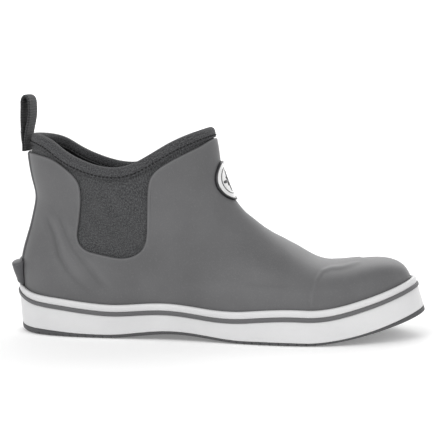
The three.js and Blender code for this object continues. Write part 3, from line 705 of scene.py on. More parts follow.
@dataclass(frozen=True)
class KnitFinish:
    """Heather knit: columns of slanted loops in two tones of yarn."""

    name: str
    light: Colour
    dark: Colour
    pitch: float = 0.0010
    depth: float = 0.00025
    speckle: float = 650.0
    rib: float = 1.0

    def make(self) -> bpy.types.Material:
        """Height is |sin| across each column times a wave along it, shifted by the |sin|: a chevron. Its low
        parts are painted darker as shade between the loops.
        """
        paint = Paint(self.name, 0.92, sheen=0.08)
        place = paint.coordinates(Coordinates.SURFACE)
        u, v, _ = paint.parts(place)
        column = (u * (math.pi / self.pitch)).sine().size()
        loop = ((v * (2 * math.pi / (self.pitch * self.rib))) + column * 2.4).sine() * 0.5 + 0.5
        height = column * (loop * 0.6 + 0.4)
        yarn = paint.noise(place, self.speckle, 3, 0.75)
        wide = paint.noise(place, 60, 2)
        tone = paint.blend(yarn.step(0.42, 0.6), self.dark, self.light)
        # Painted shade: darker where the loops dip, between them.
        tone = paint.blend((1 - height) * 0.35, tone, shade(self.dark, 0.45))
        tone = paint.blend(wide.step(0.3, 0.7) * 0.18, tone, self.light)
        normal = paint.bump(height, self.depth, 0.7)
        return paint.done(tone, paint.bump(yarn, self.depth, 0.5, normal), yarn * 0.1 + 0.85)


@dataclass(frozen=True)
class WebFinish:
    """Coarse woven webbing: warp and weft cross over and under in a chequer."""

    name: str
    light: Colour
    dark: Colour
    pitch: float = 0.0019

    def make(self) -> bpy.types.Material:
        """Height is the size of the product of two sines, one along and one across the strip; the tone runs
        from dark in its low parts to light on its crowns, painted shade in the weave's hollows.
        """
        paint = Paint(self.name, 0.9, sheen=0.08)
        place = paint.coordinates(Coordinates.SURFACE)
        u, v, _ = paint.parts(place)
        turn = math.pi / self.pitch
        cross = (u * turn).sine() * (v * turn).sine()
        height = cross.size()
        threads = paint.noise(paint.coordinates(Coordinates.SURFACE, (1, 2, 1)), 900, 2, 0.7)
        # Painted shade: dark where the weave dips, light on the crossing crowns.
        tone = paint.blend(height.step(0.05, 0.6), self.dark, self.light)
        tone = paint.blend(threads.step(0.42, 0.6) * 0.6, shade(self.dark, 1.5), tone)
        normal = paint.bump(height, 0.0005, 0.8)
        return paint.done(tone, paint.bump(threads, 0.0001, 0.6, normal), threads * 0.1 + 0.84)


@dataclass(frozen=True)
class SheetFinish:
    """Plain stock such as foam, board, metal or lacquer: clouds, pores and fine scratches."""

    name: str
    colour: Colour
    roughness: float
    metallic: float = 0.0
    coat: float = 0.0
    pores: float = 700.0
    depth: float = 0.0001
    stretch: Colour = (1, 1, 1)

    def make(self) -> bpy.types.Material:
        """Tone is colour times clouds less pores; the pores also give the normal."""
        paint = Paint(self.name, self.roughness, self.metallic, coat=self.coat)
        place = paint.coordinates(Coordinates.BOOT, self.stretch)
        clouds, pores = paint.noise(place, 40, 3), paint.noise(place, self.pores, 2, 0.65)
        tone = paint.clouded(clouds, self.colour, 0.9, 1.08)
        tone = paint.blend(pores.step(0.55, 0.75) * 0.3, tone, shade(self.colour, 0.6))
        return paint.done(tone, paint.bump(pores, self.depth, 0.5), clouds * 0.1 + (self.roughness - 0.05))


@dataclass(frozen=True)
class TreadFinish:
    """Outsole rubber with wavy razor cuts on its underside."""

    name: str
    colour: Colour

    def make(self) -> bpy.types.Material:
        """Cuts lie where a wave of x, bent by a sine of y, peaks; they fade above the ground face. The cuts are
        also painted dark as shade inside them.
        """
        paint = Paint(self.name, 0.62)
        place = paint.coordinates(Coordinates.BOOT)
        x, y, z = paint.parts(place)
        line = ((x + (y * 420).sine() * 0.0022) * (2 * math.pi / 0.0065)).sine()
        cuts = line.step(0.86, 0.97) * (1 - z.step(0.0012, 0.0018))
        grains, clouds = paint.noise(place, 1100, 2, 0.6), paint.noise(place, 25, 3)
        tone = paint.clouded(clouds, self.colour, 0.9, 1.1)
        # Painted shade inside the razor cuts.
        tone = paint.blend(cuts * 0.7, tone, shade(self.colour, 0.3))
        tone = paint.blend(grains.step(0.55, 0.72) * 0.12, tone, shade(self.colour, 2.2))
        normal = paint.bump(1 - cuts, 0.0009, 0.8)
        return paint.done(tone, paint.bump(grains, 0.0001, 0.4, normal), grains * 0.15 + 0.52)


# ---- sub-assemblies ----
@dataclass
class Sole:
    """Outsole and the three foxing strips."""

    last: Last
    columns: int = 560
    bead: float = 5.0
    stripe: float = 2.6
    proud: float = 1.0
    corner: float = 0.9            # radius of the outsole's lower corner
    channel_inset: float = 6.0     # channel under the outsole, from its edge
    channel: float = 1.1           # its depth, and the width of its bell-shaped section

    def ring(self, name: str, low: Level, high: Level,
             profile: Sequence[tuple[float, float, float]]) -> bpy.types.Object:
        """Closed strip round the sole.

        Args:
            name: the piece's name.
            low: level of its lower edge.
            high: level of its upper edge.
            profile: its section as height share, height offset and distance out of the wall.

        Returns:
            The strip: each section point is carried round the wall at its own level.
        """
        theta = self.last.even_angles(self.columns)
        rows = [self.last.on_level(theta, lambda x, s=s, d=d: mix(low(x), high(x), s) + d, out)
                for s, d, out in profile]
        return grid_piece(name, self.last, np.stack(rows), around=True, across=True)

    def rounded(self, out: float, low: float, high: float,
                inner: float = GAP) -> list[tuple[float, float, float]]:
        """Section with quarter-round corners of two radii on its outer face."""
        turn = np.linspace(0, np.pi / 2, 5)
        bottom = [(0, low * (1 - math.cos(a)), out - low * (1 - math.sin(a))) for a in turn]
        top = [(1, -high * (1 - math.sin(a)), out - high * (1 - math.cos(a))) for a in turn]
        face = [(s, 0, out) for s in (0.35, 0.55)]
        return [(0, 0, inner)] + bottom + face + top + [(1, 0, inner), (0.5, 0, inner)]

    def strips(self) -> None:
        """Band, stripe and bead, one above the other under the foxing line."""
        last = self.last
        split = [lambda x: last.sole_edge(x) + 0.15,
                 lambda x: last.foxing_top(x) - self.bead - self.stripe - GAP,
                 lambda x: last.foxing_top(x) - self.bead, last.foxing_top]
        white = RubberFinish("white_rubber", (0.68, 0.68, 0.685), 0.42, cloud=0.03, speckle=0.03,
                             depth=0.00004).make()
        grey = RubberFinish("stripe_rubber", (0.11, 0.11, 0.114), 0.5, cloud=0.06, speckle=0.05).make()
        out = GAP + FOXING
        strips = (("band_strip", "foxing_band", (out, 0.5, 0.5), "white_rubber", white),
                  ("stripe_strip", "foxing_stripe", (out + self.proud, 0.7, 0.7), "stripe_rubber", grey),
                  ("bead_strip", "foxing_bead", (out, 0.5, 1.7), "white_rubber", white))
        for low, high, (name, node, section, slot, finish) in zip(split, split[1:], strips):
            fit(self.ring(name, low, high, self.rounded(*section)), "boot", slot, finish, node)

    def tread(self) -> None:
        """Outsole: underside in to the middle line with a channel near its edge, side, and top."""
        last, theta = self.last, self.last.even_angles(self.columns)
        out = GAP + FOXING
        rows = []
        for share in np.linspace(1, 0, 26) ** 1.3:
            edge = last.on_level(theta, last.ground, out - self.corner)
            middle = last.middle(theta, last.ground)
            p = mix(edge, middle, share)
            inset = share * np.linalg.norm(edge - middle, axis=-1)
            p[:, 2] = last.ground(p[:, 0]) + self.channel * bell(inset - self.channel_inset, self.channel)
            rows.append(p)
        for a in np.linspace(0.25, np.pi / 2, 5):
            rise, inset = self.corner * (1 - math.cos(a)), self.corner * (1 - math.sin(a))
            rows.append(last.on_level(theta, lambda x, r=rise: last.ground(x) + r, out - inset))
        rows += [last.on_level(theta, lambda x, d=down: last.sole_edge(x) - d, wide)
                 for down, wide in ((0.35, out + 0.1), (0.1, out), (0.0, out - 0.35), (0.0, -2 * GAP))]
        top = lambda x: last.sole_edge(x) + 1.9
        rows += [last.inward(theta, top, -2 * GAP, share) for share in (0, 0.3, 0.65, 1)]
        piece = grid_piece("tread_sole", last, np.stack(rows), around=True)
        finish = TreadFinish("outsole_rubber", (0.07, 0.07, 0.073)).make()
        fit(piece, "boot", "outsole_rubber", finish, "outsole")

    def build(self) -> None:
        """Makes the whole sole."""
        self.strips()
        self.tread()


@dataclass
class Upper:
    """Rubber shell with a scoop at each side, its heel strip and kick tab."""

    last: Last
    rows: int = 84
    power: float = 2.4             # how late a column bends towards its edge point
    lip: float = 2.4               # width of the rounded lip
    stay_half: float = 9.5         # half width of the heel strip
    tab_half: float = 13.8         # half width of the kick tab
    scoop: tuple = ((34.8, 128.2), (43.8, 122.6), (49.7, 117.6), (53.2, 112.9), (54.8, 107.3), (54.9, 100.8),
                    (54.1, 91.7), (52.9, 84.0), (51.9, 77.4), (52.0, 71.9), (54.2, 67.0), (58.7, 63.4),
                    (67.3, 60.9), (77.0, 59.0), (84.6, 58.2), (91.8, 59.2), (97.9, 62.1), (101.9, 66.6),
                    (103.9, 72.4), (104.5, 79.3), (104.7, 89.6), (104.9, 101.8), (105.4, 109.3), (107.1, 116.4),
                    (111.0, 121.6), (116.8, 126.0), (124.9, 130.7), (135.0, 135.9), (143.5, 140.5))
    # a landmark's x on the scoop, its columns' first angle at the foxing line, and their number
    fans: tuple = ((0, 0.0, 44), (43.8, 0.30, 36), (54.1, 0.60, 28), (54.2, 0.86, 28), (77.0, 1.05, 26),
                   (97.9, 1.24, 30), (104.7, 1.50, 34), (111.0, 1.85, 150))
    creases: tuple = (((27.2, 85.2), (32.7, 73.2), (36.8, 58.0), (46.0, 45.1), (54.7, 36.0), (65.3, 28.0)),
                      ((31.9, 92.7), (37.0, 85.7), (43.1, 72.6), (48.8, 62.6), (54.5, 56.0), (63.2, 45.5),
                       (73.8, 33.3)))
    puff: tuple = ((224.1, 27.0), (225.1, 38.0), (227.2, 45.5), (230.7, 50.2), (236.3, 51.8), (244.0, 52.4),
                   (250.2, 53.7), (256.0, 55.4))

    def edge(self) -> tuple[Array, Array, Array]:
        """Edge of the shell on the outer half, as angle, height share and chord length of fine points."""
        last = self.last
        rear = np.array([-0.45, -0.3, -0.15, 0, 0.15, 0.3, 0.45, 0.6])
        front = np.array([2.88, 3.02, np.pi, 2 * np.pi - 3.02, 2 * np.pi - 2.88])
        scoop_theta, scoop_v = last.locate_side(*np.array(self.scoop).T)
        self.knots = np.concatenate([np.stack([rear, last.rubber_edge(rear)], 1),
                                     np.stack([scoop_theta, scoop_v], 1),
                                     np.stack([front, last.rubber_edge(front)], 1)])
        lengths = chords(last.point(*self.knots.T))
        path = spline(lengths, self.knots)
        at = np.linspace(lengths[3], lengths[len(self.knots) - 3], 4001)
        self.knot_lengths = lengths
        theta, v = path(at).T
        return theta, v, at

    def columns(self) -> tuple[Array, Array, Array]:
        """For each column of the outer half: edge angle, edge height share, and angle at the foxing."""
        theta, v, at = self.edge()
        scoop_start = 8
        marks, starts, counts = [], [], []
        for x, start, count in self.fans:
            if x == 0:
                marks.append(at[0])
            else:
                near = [k for k, knot in enumerate(self.scoop) if knot[0] == x]
                marks.append(self.knot_lengths[scoop_start + near[0]])
            starts.append(start)
            counts.append(count)
        marks, starts = np.array(marks + [at[-1]]), np.array(starts + [np.pi])
        places = np.r_[0, np.cumsum(counts)]
        column = np.arange(places[-1] + 1)
        length = np.interp(column, places, marks)
        length, base = blurred(length), blurred(np.interp(column, places, starts))
        base[0], base[-1], length[0], length[-1] = 0, np.pi, at[0], at[-1]
        return np.interp(length, at, theta), np.interp(length, at, v), base

    def relief(self, p: Array) -> Array:
        """Height of folds and of the toe puff's ridge over the smooth shell.

        Two folds run down the heel quarter: each is a bell-shaped dip with a softer swell in front.
        The ridge is a narrow bell along the toe puff's edge on a low step.
        """
        x, y, z = p[..., 0], p[..., 1], p[..., 2]
        total = 0.09 * ripples(p, 38, 3)
        outer = smooth((-y - 6) / 12)
        fade = outer * smooth((z - 24) / 26) * smooth((100 - z) / 22)
        for path, deep in zip(self.creases, (0.8, 0.65)):
            d = distance_to(x, z, path)
            ahead = distance_to(x - 5.2, z - 1.5, path)
            behind = distance_to(x + 5.0, z + 0.5, path)
            total += fade * deep * (-bell(d, 2.3) + 0.6 * bell(ahead, 3.0) + 0.35 * bell(behind, 3.2))
        ridge = distance_to(x, z, self.puff)
        total += (0.85 * bell(ridge, 1.1) - 0.2 * bell(ridge, 4)) * smooth((np.abs(y) - 4) / 10)
        total += 0.10 * bell((x - 196) / 16, 1) * np.sin(x / 2.1 + y / 9) * smooth((z - 40) / 12)
        return total

    def shell(self) -> None:
        """The shell's grid: each column rises straight from the foxing and bends to its edge point.

        Along a column the angle is base + (edge - base) t^power and the height share is t times the
        edge's, so that no two columns cross. The lip is a half-round across the wall's thickness.
        """
        last = self.last
        theta_e, v_e, base = self.columns()
        theta_e, v_e = np.r_[theta_e, 2 * np.pi - theta_e[-2:0:-1]], np.r_[v_e, v_e[-2:0:-1]]
        base = np.r_[base, 2 * np.pi - base[-2:0:-1]]
        edge = last.point(theta_e, v_e)
        normal = last.outward(theta_e, v_e)
        inwards = np.cross(normal, unit(np.roll(edge, -1, 0) - np.roll(edge, 1, 0)))
        if inwards[0, 2] > 0:
            inwards = -inwards
        theta_i, v_i = last.locate(edge + inwards * self.lip, theta_e, v_e)
        r = np.linspace(0, 1, self.rows)
        t = (0.5 * r + 0.5 * r * r)[:, None]
        theta = base + (theta_i - base) * t ** self.power
        v = v_i * t
        p = last.point(theta, v)
        fade = smooth(np.linalg.norm(p - edge[None], axis=-1) / 9) * smooth(v / 0.03)
        height = self.relief(p) * fade
        body = last.skin(theta, v, height)
        foot = last.foxing_top(last.point(base, 0.0)[:, 0])
        low = [last.wall(base, foot - d, np.zeros_like(base)) for d in (6.0, 3.0)]
        lip = [(1.9, 0.0), (1.5, 0.05), (1.1, 0.10), (0.75, 0.06), (0.42, -0.12), (0.16, -0.45), (0.0, -0.9),
               (0.16, -1.35), (0.42, -1.65), (0.9, -1.8), (1.6, -1.8)]
        rim = [edge + inwards * d + normal * h for d, h in lip]
        back = [last.skin(base + (theta_i - base) * s ** self.power, v_i * s, np.full_like(v_i, -RUBBER))
                for s in (1.0, 0.9, 0.75, 0.55, 0.35, 0.15, 0.0)]
        under = [last.wall(base, foot - 6.0, np.full_like(base, -RUBBER))]
        grid = np.concatenate([np.stack(low), body, np.stack(rim), np.stack(back), np.stack(under)])
        # The relief mark holds the folds' height, which the rubber's shader also paints as highlight and shade.
        mark = np.zeros(grid.shape[:2])
        mark[2:2 + self.rows] = height
        lip_rows = 2 + self.rows
        # On the lip's rows the mark is a painted highlight along the rounded edge.
        mark[lip_rows:lip_rows + 5] = np.array([0.1, 0.35, 0.6, 0.6, 0.3])[:, None]
        piece = grid_piece("rubber_shell", last, grid, around=True, across=True, relief=mark)
        # This rubber gets the painted highlight and shade of the relief mark, and dust.
        finish = RubberFinish("upper_rubber", (0.108, 0.108, 0.111), 0.55, sheen=0.08, painted_relief_light_and_dust=True).make()
        fit(piece, "boot", "upper_rubber", finish, "rubber_upper")

    def heel_angle(self, distance: Array, v: Array) -> Array:
        """Angle at which the skin near the heel is a distance from the middle plane."""
        width = self.last.rings[0](0.0) * (1 - v) + 43 * v
        return np.arcsin(distance / width)

    def stay(self, material: bpy.types.Material) -> None:
        """Strip up the back: a crowned ribbon whose thickness is 1 - u^8 of its full value at u across."""
        last = self.last
        top = float(last.rubber_edge(np.array(0.0))) + 0.004
        v = np.linspace(0.0, top, 90)[:, None]
        u = np.sin(np.linspace(-np.pi / 2, np.pi / 2, 33))[None, :]
        theta = self.heel_angle(self.stay_half * u, v)
        ends = smooth((top - v) / 0.012)
        out = GAP * 0.2 + 1.15 * np.sqrt(np.clip(1 - u ** 8, 0, 1)) * ends + 0.06 * np.cos(u * 9)
        face = last.skin(theta, v, out)
        back = last.skin(theta, v, np.full(np.broadcast_shapes(u.shape, v.shape), -0.3))
        grid = np.concatenate([face, back[:, ::-1]], 1)
        fit(capped("heel_strip", last, grid), "boot", "stay_rubber", material, "heel_stay")

    def tab(self, material: bpy.types.Material) -> None:
        """Kick tab: a wedge section swept across the heel, shrinking towards its rounded ends.

        The section is a closed curve through corner points doubled to keep them firm.
        """
        last = self.last
        section = np.array([
            (0.2, 36.4), (1.1, 36.2), (1.5, 36.5), (1.6, 37.2), (1.8, 37.9), (2.3, 38.0), (3.1, 37.9),
            (3.5, 38.3), (4.0, 40.2), (5.6, 45.2), (7.2, 49.9), (7.3, 50.4), (7.0, 50.8), (4.4, 52.0),
            (1.9, 53.1), (1.6, 53.5), (1.4, 54.3), (0.9, 54.5), (0.2, 54.3), (-0.4, 46.0)])
        closed = np.concatenate([section[-3:], section, section[:3]])
        lengths = chords(closed)
        path = spline(lengths, closed)
        around = path(np.linspace(lengths[3], lengths[-3], 72, endpoint=False))
        foot, full = last.back(0.0)[1], last.back(1.0)[1] - last.back(0.0)[1]
        u = np.sin(np.linspace(-np.pi / 2, np.pi / 2, 49))[:, None]
        swell = (1 - np.abs(u) ** 9) ** 0.5
        middle = around.mean(0)
        out = 1.0 + mix(np.clip(around[None, :, 0], -0.4, 1.2), around[None, :, 0], swell)
        z = mix(middle[1], around[None, :, 1], mix(0.93, 1.0, swell))
        v = (z - foot) / full
        theta = self.heel_angle(self.tab_half * u + 0 * v, v)
        fit(capped("kick_ledge", last, last.skin(theta, v, out)), "boot", "stay_rubber", material, "kick_tab")

    def build(self) -> None:
        """Makes shell, heel strip and kick tab."""
        self.shell()
        dark = RubberFinish("stay_rubber", (0.085, 0.085, 0.09), 0.5, cloud=0.08, speckle=0.08).make()
        self.stay(dark)
        self.tab(dark)


@dataclass
class Bootie:
    """Neoprene bootie: knit face outside, napped lining and floor inside."""

    last: Last
    columns: int = 420
    stiff_top: float = 0.385

    def above_stiffeners(self, v: Array) -> Array:
        """Smooth rise from 0 at the stiffeners' top to 1 a little higher."""
        return smooth((v - self.stiff_top - 0.015) / 0.12)

    def outer(self, theta: Array, v: Array) -> Array:
        """Distance of the knit face from the skin: deeper where heel and toe stiffeners lie over it."""
        g = reach_of(theta)
        deep = np.maximum(1 - smooth((g - 0.14) / 0.06), smooth((g - 0.66) / 0.08))
        rise = np.maximum(self.above_stiffeners(v), 1 - deep)
        return mix(-(RUBBER + STIFF_ROOM), -(RUBBER + GAP), rise) + 0 * theta

    def inner(self, v: Array) -> Array:
        """Distance of the lining from the skin."""
        return mix(-(RUBBER + STIFF_ROOM), -(RUBBER + GAP), self.above_stiffeners(v)) - NEOPRENE

    def build(self) -> None:
        """Two shells on one another: the knit is closed as a tube, the lining also has a floor."""
        last = self.last
        theta = last.even_angles(self.columns, 0.5)
        top = last.below_collar(theta, 2.0)
        shares = np.linspace(0, 1, 90)[:, None]
        v = top * shares
        wrinkle = 0.12 * ripples(last.point(theta, v), 16, 8) * smooth(v / 0.2)
        outer = self.outer(theta, v) + wrinkle
        shares_in = np.linspace(1, 0, 24)[:, None]
        face = last.skin(theta, v, outer)
        under = last.skin(theta, top * shares_in, self.outer(theta, top * shares_in) - 1.4)
        knit = KnitFinish("neoprene", (0.112, 0.113, 0.116), (0.026, 0.027, 0.029)).make()
        piece = grid_piece("knit_face", last, np.concatenate([face, under]), around=True, across=True)
        fit(piece, "boot", "neoprene", knit, "neoprene_bootie")
        floor_low = lambda x: last.sock_top(x) - 2.1
        deep = np.full_like(theta, -6.0)
        rows = [last.inward(theta, floor_low, deep, share) for share in (1, 0.65, 0.3, 0)]
        up = top * np.linspace(0, 1, 20)[:, None]
        down = top * np.linspace(1, 0, 60)[:, None]
        rows += list(last.skin(theta, up, self.outer(theta, up) - 1.5))
        nap = 0.1 * ripples(last.point(theta, down), 14, 12)
        rows += list(last.skin(theta, down, self.inner(down) + nap))
        foot = np.full_like(theta, self.inner(np.array(0.0)))
        rows += [last.inward(theta, last.sock_top, foot, share) for share in (0, 0.15, 0.4, 0.7, 1)]
        # A near-black lining, made darker still as painted shade inside the shaft.
        lining = KnitFinish("lining", (0.016, 0.016, 0.018), (0.006, 0.006, 0.007), 0.0012, 0.0002).make()
        fit(grid_piece("nap_lining", last, np.stack(rows), around=True), "boot", "neoprene", lining)


@dataclass
class Collar:
    """Folded binding round the top line, with a row of stitches through it."""

    last: Last
    stitches: int = 128
    depth: float = 8.6
    row: float = 6.9
    middle: float = -3.7
    half: float = 3.6
    stitch_half: float = 0.98
    stitch_radius: float = 0.52
    stitch_proud: float = 0.1
    share: float = 0.97            # height share at which stitches are equally spaced

    def face(self, theta: Array, down: Array, out: Array) -> Array:
        """Points at a distance down from the top line and a distance out of the skin."""
        return self.last.skin(theta, self.last.below_collar(theta, down), out)

    def binding(self) -> None:
        """Section of the fold carried round the collar.

        The section goes up one side, over a half circle, and down the other, with the cloth's
        thickness inside. It is pressed in along the stitches and more at each hole.
        """
        count = self.stitches * 6
        theta = self.last.even_angles(count, self.share)
        puff = lambda d: 0.5 * np.sin(np.pi * np.clip(d / self.row, 0, 1)) ** 0.8
        side = [(d, self.half + puff(d)) for d in np.linspace(self.depth - 0.6, 3.2, 20)]
        bend = np.linspace(0.12, np.pi - 0.12, 19)
        arch = [(3.2 - 3.2 * math.sin(a), (self.half + puff(3.2)) * math.cos(a)) for a in bend]
        hem = [(self.depth - 0.15, self.half - 0.1), (self.depth, self.half - 0.7),
               (self.depth - 0.1, self.half - 1.2), (self.depth - 0.7, self.half - 1.35)]
        inside = [(d, self.half - 1.4) for d in (6.0, 2.5)]
        section = (inside[::-1] + hem[::-1] + side + arch + [(d, -w) for d, w in side[::-1]]
                   + [(d, -w) for d, w in hem] + [(d, -w) for d, w in inside])
        down, out = np.array(section).T
        press = bell(down - self.row, 0.75)
        hole = 0.5 + 0.5 * np.cos(np.arange(count) * 2 * np.pi / 6)
        depth = (np.sign(out)[:, None] * press[:, None] * (0.14 + 0.3 * hole[None, :])
                 * (np.abs(out) > 3)[:, None])
        ripple = 0.07 * ripples(np.stack([theta * 60, 0 * theta, 0 * theta], -1), 9, 5)
        grid = self.face(theta[None, :] + 0 * down[:, None],
                         down[:, None] + ripple[None, :] * (down[:, None] > 5),
                         self.middle + out[:, None] - depth)
        cloth = KnitFinish("binding", (0.105, 0.106, 0.11), (0.022, 0.022, 0.024), pitch=0.0009,
                           depth=0.0003, speckle=900, rib=1.6).make()
        piece = grid_piece("binding_fold", self.last, grid, around=True, across=True)
        fit(piece, "boot", "binding", cloth, "collar_binding")

    def thread(self) -> None:
        """Stitches: round-ended rods along the row, on both sides of the fold."""
        theta = self.last.even_angles(self.stitches * 6, self.share)[3::6]
        black = SheetFinish("thread", (0.006, 0.006, 0.0065), 0.8, pores=2500).make()
        for name, side, nodes in (("outer_stitches", 1, ("collar_stitching",)), ("inner_stitches", -1, ())):
            out = self.middle + side * (self.half + self.stitch_proud)
            row = np.full_like(theta, self.row)
            centre = self.face(theta, row, np.full_like(theta, out))
            ahead = self.face(theta + 0.004, row, np.full_like(theta, out))
            along = unit(ahead - centre)
            up = self.last.outward(theta, self.last.below_collar(theta, row))
            piece = rods(name, self.last, centre, along, up, self.stitch_half, self.stitch_radius)
            fit(piece, "boot", "thread", black, *nodes)

    def build(self) -> None:
        """Makes binding and stitches."""
        self.binding()
        self.thread()


def rods(name: str, last: Last, centre: Array, along: Array, up: Array, half: float,
         radius: float) -> bpy.types.Object:
    """Many small round-ended rods as one piece.

    Args:
        name: the piece's name.
        last: the last, which places them.
        centre: middle of each rod.
        along: its direction.
        up: the direction out of the cloth.
        half: half of its length.
        radius: its radius.

    Returns:
        The piece. A rod's ring k lies at half times a share along it, and its radius there is the
        root of one less the share to the fourth.
    """
    shares = np.array([-1, -0.85, -0.4, 0.4, 0.85, 1])
    size = radius * np.sqrt(1 - np.abs(shares) ** 4 * 0.97)
    angle = turns(6)
    side = np.cross(up, along)
    ring = np.cos(angle)[:, None, None] * side + np.sin(angle)[:, None, None] * up
    p = (centre + shares[:, None, None, None] * half * along
         + size[:, None, None, None] * ring[None] - 0.12 * (np.abs(shares) ** 3)[:, None, None, None] * up)
    p = p.transpose(2, 0, 1, 3)
    count, rings, sides = p.shape[:3]
    i, j = np.meshgrid(np.arange(rings - 1), np.arange(sides), indexing="ij")
    quad = np.stack([i * sides + j, i * sides + (j + 1) % sides, (i + 1) * sides + (j + 1) % sides,
                     (i + 1) * sides + j], -1).reshape(-1, 4)
    caps = np.array([[0, 5, 4, 3], [0, 3, 2, 1]])
    caps = np.concatenate([caps, caps[:, ::-1] + (rings - 1) * sides])
    local = np.concatenate([quad, caps])
    faces = (local[None] + (np.arange(count) * rings * sides)[:, None, None]).reshape(-1, 4)
    placed = last.place(p.reshape(-1, 3))
    flat = np.tile(np.array([[0, 0], [0.0006, 0], [0.0006, 0.0006], [0, 0.0006]]), (len(faces), 1, 1))
    if inside_out(placed[local], placed[:rings * sides].mean(0)):
        faces = faces[:, ::-1]
    return loose_piece(name, placed, faces, flat)


def loose_piece(name: str, placed: Array, faces: Array, flat: Array) -> bpy.types.Object:
    """Makes a smooth piece from placed points, four-sided faces and their flat coordinates."""
    mesh = bpy.data.meshes.new(name)
    mesh.from_pydata(placed.tolist(), [], faces.tolist())
    layer = mesh.uv_layers.new(name="Surface")
    layer.uv.foreach_set("vector", np.ascontiguousarray(flat, np.float32).ravel())
    mesh.polygons.foreach_set("use_smooth", np.ones(len(mesh.polygons), bool))
    log.info("%s: %d faces", name, len(mesh.polygons))
    return new_object(name, mesh)


@dataclass
class PullLoop:
    """Webbing loop at the heel, sewn flat on itself in its foot."""

    last: Last
    width: float = 25.0
    thick: float = 1.7
    crown: float = 42.5
    stitch_half: float = 0.85
    stitch_radius: float = 0.26

    def build(self) -> None:
        """Strip whose middle line goes up the front leg, over the crown and down the rear leg.

        Its section is a rounded rectangle, x^8 + y^8 = 1 stretched to the strip's width and
        thickness, and its edges curl a little towards the inside of the loop.
        """
        last = self.last
        low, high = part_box("loop_tack")
        foot = np.array([(high.x - last.shift[0]) * 1000 + 2.0, (low.z - last.shift[2]) * 1000 - 0.7])
        c = self.crown
        knots = [(1.08, 0.3), (1.08, 2.2), (1.08, 4.4), (1.15, 6.6), (1.9, 11.5), (2.9, 16.5), (4.2, 22.5),
                 (5.0, 29), (4.9, 35.5), (3.6, c - 2.2), (1.6, c - 0.85), (-0.4, c - 2.6), (-1.2, 35),
                 (-1.4, 27), (-1.3, 18), (-0.85, 10.5), (-0.25, 6.6), (-0.16, 4.4), (-0.16, 2.2),
                 (-0.16, 0.3)]
        path = curve(knots)
        t = np.linspace(0, 1, 150)
        line = path(t)
        run = unit(path(np.clip(t + TINY, 0, 1)) - path(np.clip(t - TINY, 0, 1)))
        across = np.stack([run[:, 1], -run[:, 0]], -1)
        angle = turns(52)
        w, h = squared(np.cos(angle)), squared(np.sin(angle))
        taper = 1 - 0.35 * (np.abs(w) > 0.93)
        free = smooth((line[:, 1] - 7) / 6)[:, None]
        thick = mix(0.7, 1.0, smooth((line[:, 1] - 4) / 5))[:, None] * self.thick
        offset = thick / 2 * 0.97 * h * taper - 0.4 * free * w ** 4 + 0.05 * free * np.cos(w * 14)
        plane = line[:, None, :] + offset[..., None] * across[:, None, :]
        y = (self.width / 2 - 0.2 * np.sin(np.pi * t) ** 2)[:, None] * w[None, :]
        grid = np.stack([foot[0] + plane[..., 0], y, foot[1] + plane[..., 1]], -1)
        web = WebFinish("webbing", (0.15, 0.15, 0.155), (0.012, 0.012, 0.013)).make()
        fit(capped("heel_loop", last, grid, 0.3), "loop", "webbing", web, "pull_loop")
        self.tack(foot)

    def tack(self, foot: Array) -> None:
        """Sewn box and cross on the foot: a rod for each stitch."""
        half, tall = self.width / 2 - 2.5, 2.1
        corners = np.array([(-half, -tall), (half, -tall), (half, tall), (-half, tall)], float)
        centre, along = [], []
        for i, j in ((0, 1), (1, 2), (2, 3), (3, 0), (0, 2), (1, 3)):
            a, b = corners[i], corners[j]
            count = max(int(np.linalg.norm(b - a) / 2.0), 1)
            at = (np.arange(count) + 0.5) / count
            centre.append(a + (b - a) * at[:, None])
            along.append(np.broadcast_to((b - a) / np.linalg.norm(b - a), (count, 2)))
        centre, along = np.concatenate(centre), np.concatenate(along)
        back, above = 0.86, 2.9        # from the foot's corner to the middle of the sewn box
        points = np.stack([np.full(len(centre), foot[0] - back), centre[:, 0],
                           foot[1] + above + centre[:, 1]], -1)
        ways = np.stack([0 * along[:, 0], along[:, 0], along[:, 1]], -1)
        up = np.broadcast_to(np.array([-1.0, 0, 0]), points.shape)
        black = SheetFinish("tack_thread", (0.01, 0.01, 0.011), 0.8, pores=2500).make()
        piece = rods("tack_stitches", self.last, points, ways, up, self.stitch_half, self.stitch_radius)
        fit(piece, "loop", "thread", black, "loop_tack")


